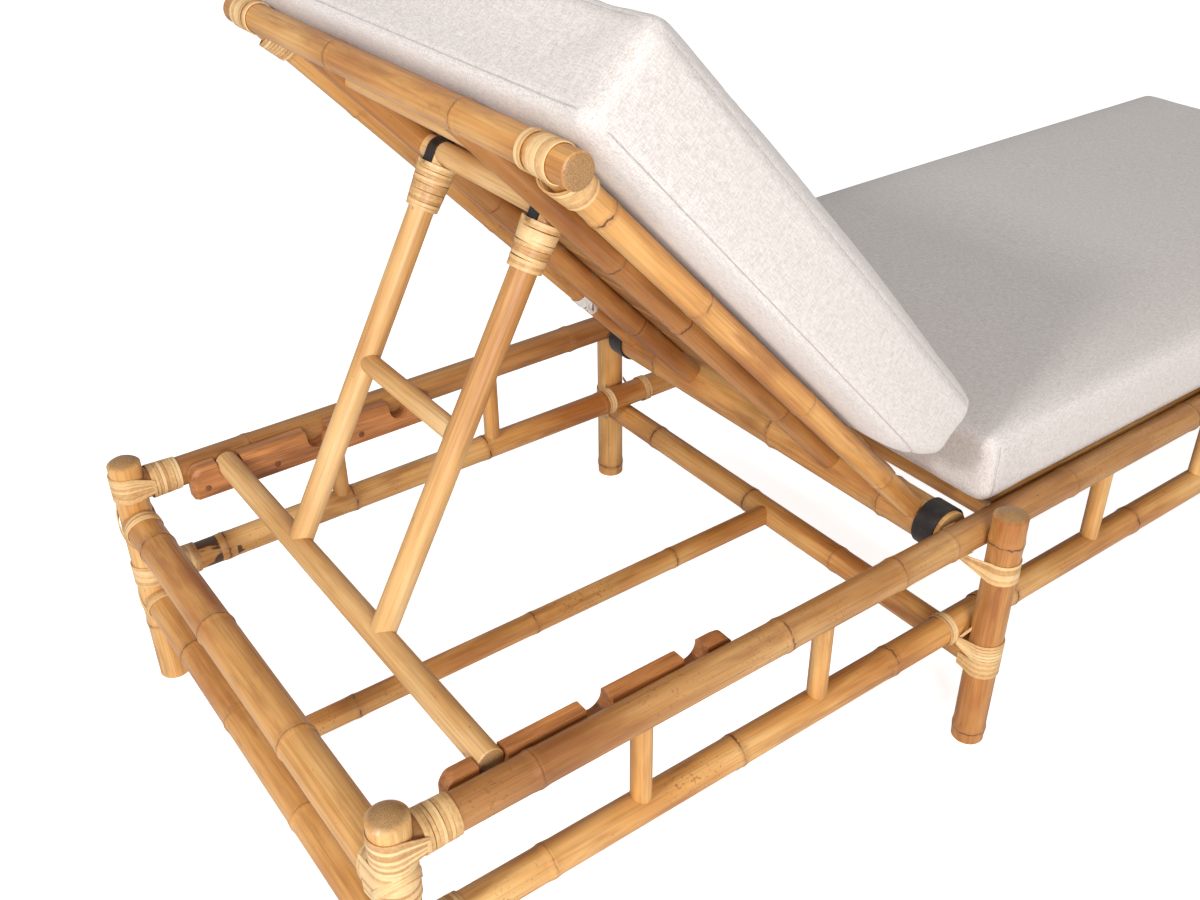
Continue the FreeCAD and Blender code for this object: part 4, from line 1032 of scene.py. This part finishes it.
def struck(pad, rays):
    """The points where rays from inside a cushion meet its cover."""
    mesh = pad.cover.data
    faces = [tuple(p.vertices) for p in mesh.polygons]
    cover = BVHTree.FromPolygons([v.co.copy() for v in mesh.vertices], faces)
    hits = [cover.ray_cast(place, way)[0] for place, way in rays]
    return [hit for hit in hits if hit is not None]


def seam_line(pad, height, step=0.012, inset=0.07):
    """Points where a level round the cushion meets its cover."""
    half, low, high = pad.half - inset, pad.start + inset, pad.end - inset
    corners = [(half, low), (half, high), (-half, high), (-half, low)]
    rays = []
    for i, (x, run) in enumerate(corners):
        turn_from = -QUARTER + i * QUARTER
        for k in range(CORNER_RAYS):
            angle = turn_from + QUARTER * k / (CORNER_RAYS - 1)
            way = X_AXIS * math.cos(angle) + pad.along * math.sin(angle)
            rays.append((pad.at(x, run, height), way))
        nx, nrun = corners[(i + 1) % 4]
        count = int(max(abs(nx - x), abs(nrun - run)) / step)
        for k in range(1, count):
            place = pad.at(x + (nx - x) * k / count, run + (nrun - run) * k / count, height)
            rays.append((place, way))
    return struck(pad, rays)


def corner_seam(pad, side):
    """Points up the side band close to the corner at the head end."""
    levels = [pad.floor + 0.010 + (pad.top - pad.floor - 0.016) * k / 9 for k in range(10)]
    return struck(pad, [(pad.at(side * 0.25, pad.start + 0.021, z), X_AXIS * side) for z in levels])


print("seat seam:", len(seam_line(SEAT, SEAT_SEAM)), "points")


# %% Lay the seams
SEAM_R, SEAM_DEPTH = 0.0007, 0.0011


def corded(name, points, closed, body):
    """A thin cord of the seam's cloth, darker as painted shade, through points, made a mesh."""
    line = bpy.data.curves.new(name, "CURVE")
    line.dimensions = "3D"
    line.bevel_depth, line.bevel_resolution = SEAM_R, 1
    spline = line.splines.new("POLY")
    spline.points.add(len(points) - 1)
    for point, co in zip(spline.points, points):
        point.co = (*co, 1)
    spline.use_cyclic_u = closed
    only(linked(name, line))
    bpy.ops.object.convert(target="MESH")
    made = bpy.context.view_layer.objects.active
    return assembled(name, [made], SEAM, body, slot="cushion_cloth", smooth=80)


def drawn_in(pad, seams, depth=0.0014, reach=0.0065):
    """Pull the cover toward the cushion's middle along its seams."""
    tree = KDTree(sum(len(s) for s in seams))
    for i, co in enumerate(c for s in seams for c in s):
        tree.insert(co, i)
    tree.balance()
    for vert, normal in zip(pad.cover.data.vertices, normals_of(pad.cover)):
        far = tree.find(vert.co)[2]
        if far < reach:
            vert.co -= normal * depth * (1 - far / reach) ** 2


def finer(points, closed=True):
    """Halve the spacing of a line of points."""
    after = points[1:] + (points[:1] if closed else [])
    return [co for a, b in zip(points, after) for co in (a, (a + b) / 2)]


for pad, body, name, levels in (
    (SEAT, "frame", "seat", (SEAT_SEAM,)),
    (BACK, "backrest", "back", BACK_SEAMS),
):
    seams = [seam_line(pad, level) for level in levels]
    uprights = [corner_seam(pad, side) for side in (-1, 1)] if pad is SEAT else []
    drawn_in(pad, [finer(finer(s)) for s in seams] + [finer(finer(s, False), False) for s in uprights])
    for side_name, side, seam in zip(("left", "right"), (-1, 1), uprights):
        laid_in = [co - X_AXIS * side * SEAM_DEPTH for co in seam]
        corded(f"seat_corner_seam_{side_name}", laid_in, False, body)
    middle = pad.at(0, (pad.start + pad.end) / 2, 0)
    for level_name, seam in zip(("lower", "upper"), seams):
        inward = [(middle - co) - pad.out * (middle - co).dot(pad.out) for co in seam]
        laid_in = [co + way.normalized() * SEAM_DEPTH for co, way in zip(seam, inward)]
        corded(f"{name}_cushion_{level_name}_seam", laid_in, True, body)

# %% [markdown]
# ## Tie
# A cotton tape goes round the left side rail and holds the back cushion. Its bow hangs beside the
# rail as two small loops. The band and the loops are cut from the same ribbon as the strands.

# %% Tie the tape
band = strand(0.0140, width=0.017, thick=0.0009)
hanging = strand(0.0045, tail=0.034, width=0.008, thick=0.0008)
tied_at = PIVOT + BACK_UP * 0.148 - X_AXIS * BACK_RAIL_X
tape = [copied(band, move(tied_at) @ facing_along(BACK_UP))]
knot = tied_at + X_AXIS * 0.018 + BACK_OUT * 0.014 + BACK_UP * 0.014
upright = Matrix((Z_AXIS, X_AXIS, Y_AXIS)).transposed().to_4x4()
drop = move(-Z_AXIS * 0.033) @ upright
for lean, turn_by in ((-0.1, 0.4), (0.22, -0.3)):
    swing = rotation(lean, "Y") @ rotation(turn_by, "Z")
    tape.append(copied(hanging, move(knot) @ swing @ drop))
assembled("cotton_tie", tape, TAPE, "backrest", "cushion_tie", slot="tie_cloth")
put_away(band, hanging)

# %% [markdown]
# ## Floor and light
# The photograph is a plain studio picture on white. The floor is white to the camera and keeps a soft
# shadow. A large soft lamp from the right gives the long highlights on the culms, and a small one
# behind the head end gives the backrest's shadow on the seat its edge.

# %% Floor and backdrop
fresh()
bpy.ops.mesh.primitive_plane_add(size=60, location=(0, 0, 0))
floor = bpy.context.active_object
floor.name = "studio_floor"
CAMERA_GLOW, SKY_LIGHT = 0.76, 0.43
made, tree, shader = new_finish("studio_white", 0.95)
rays = add(tree, "ShaderNodeLightPath").outputs["Is Camera Ray"]
speckle = noise(tree, object_place(tree), 0.4, 1)
tree.links.new(ramp(tree, speckle, (0.3, 0.82), (0.7, 0.84)), shader.inputs["Base Color"])
glow = add(tree, "ShaderNodeEmission", {"Color": (1, 1, 1, 1), "Strength": CAMERA_GLOW})
lit = add(tree, "ShaderNodeAddShader", {0: shader.outputs[0], 1: glow.outputs[0]})
seen = add(tree, "ShaderNodeMixShader", {0: rays, 1: shader.outputs[0], 2: lit.outputs[0]})
tree.links.new(seen.outputs[0], tree.nodes["Material Output"].inputs["Surface"])
floor.data.materials.append(made)
world = bpy.data.worlds.new("studio_air")
world.use_nodes = True
bpy.context.scene.world = world
sky = world.node_tree
rays = add(sky, "ShaderNodeLightPath").outputs["Is Camera Ray"]
strength = add(sky, "ShaderNodeMapRange", {"Value": rays, "To Min": SKY_LIGHT, "To Max": 1.0}).outputs[0]
sky.links.new(strength, sky.nodes["Background"].inputs["Strength"])
sky.nodes["Background"].inputs["Color"].default_value = (1, 1, 1, 1)
print("floor and backdrop ready")


# %% Lamps
LIT = Vector((0, -0.35, 0.35))


def soft_lamp(name, place, size, power):
    """A square lamp aimed at the lounger's middle."""
    data = bpy.data.lights.new(name, "AREA")
    data.shape, data.size, data.energy = "SQUARE", size, power
    lamp = linked(name, data)
    aim = (LIT - Vector(place)).to_track_quat("-Z", "Y")
    lamp.matrix_world = move(place) @ aim.to_matrix().to_4x4()


soft_lamp("side_light", (3.5, -2.2, 1.5), 1.5, 104)
soft_lamp("head_light", (0.75, -3.64, 2.5), 0.3, 50)
bpy.context.scene.view_settings.view_transform = "Standard"
print("lamps ready")
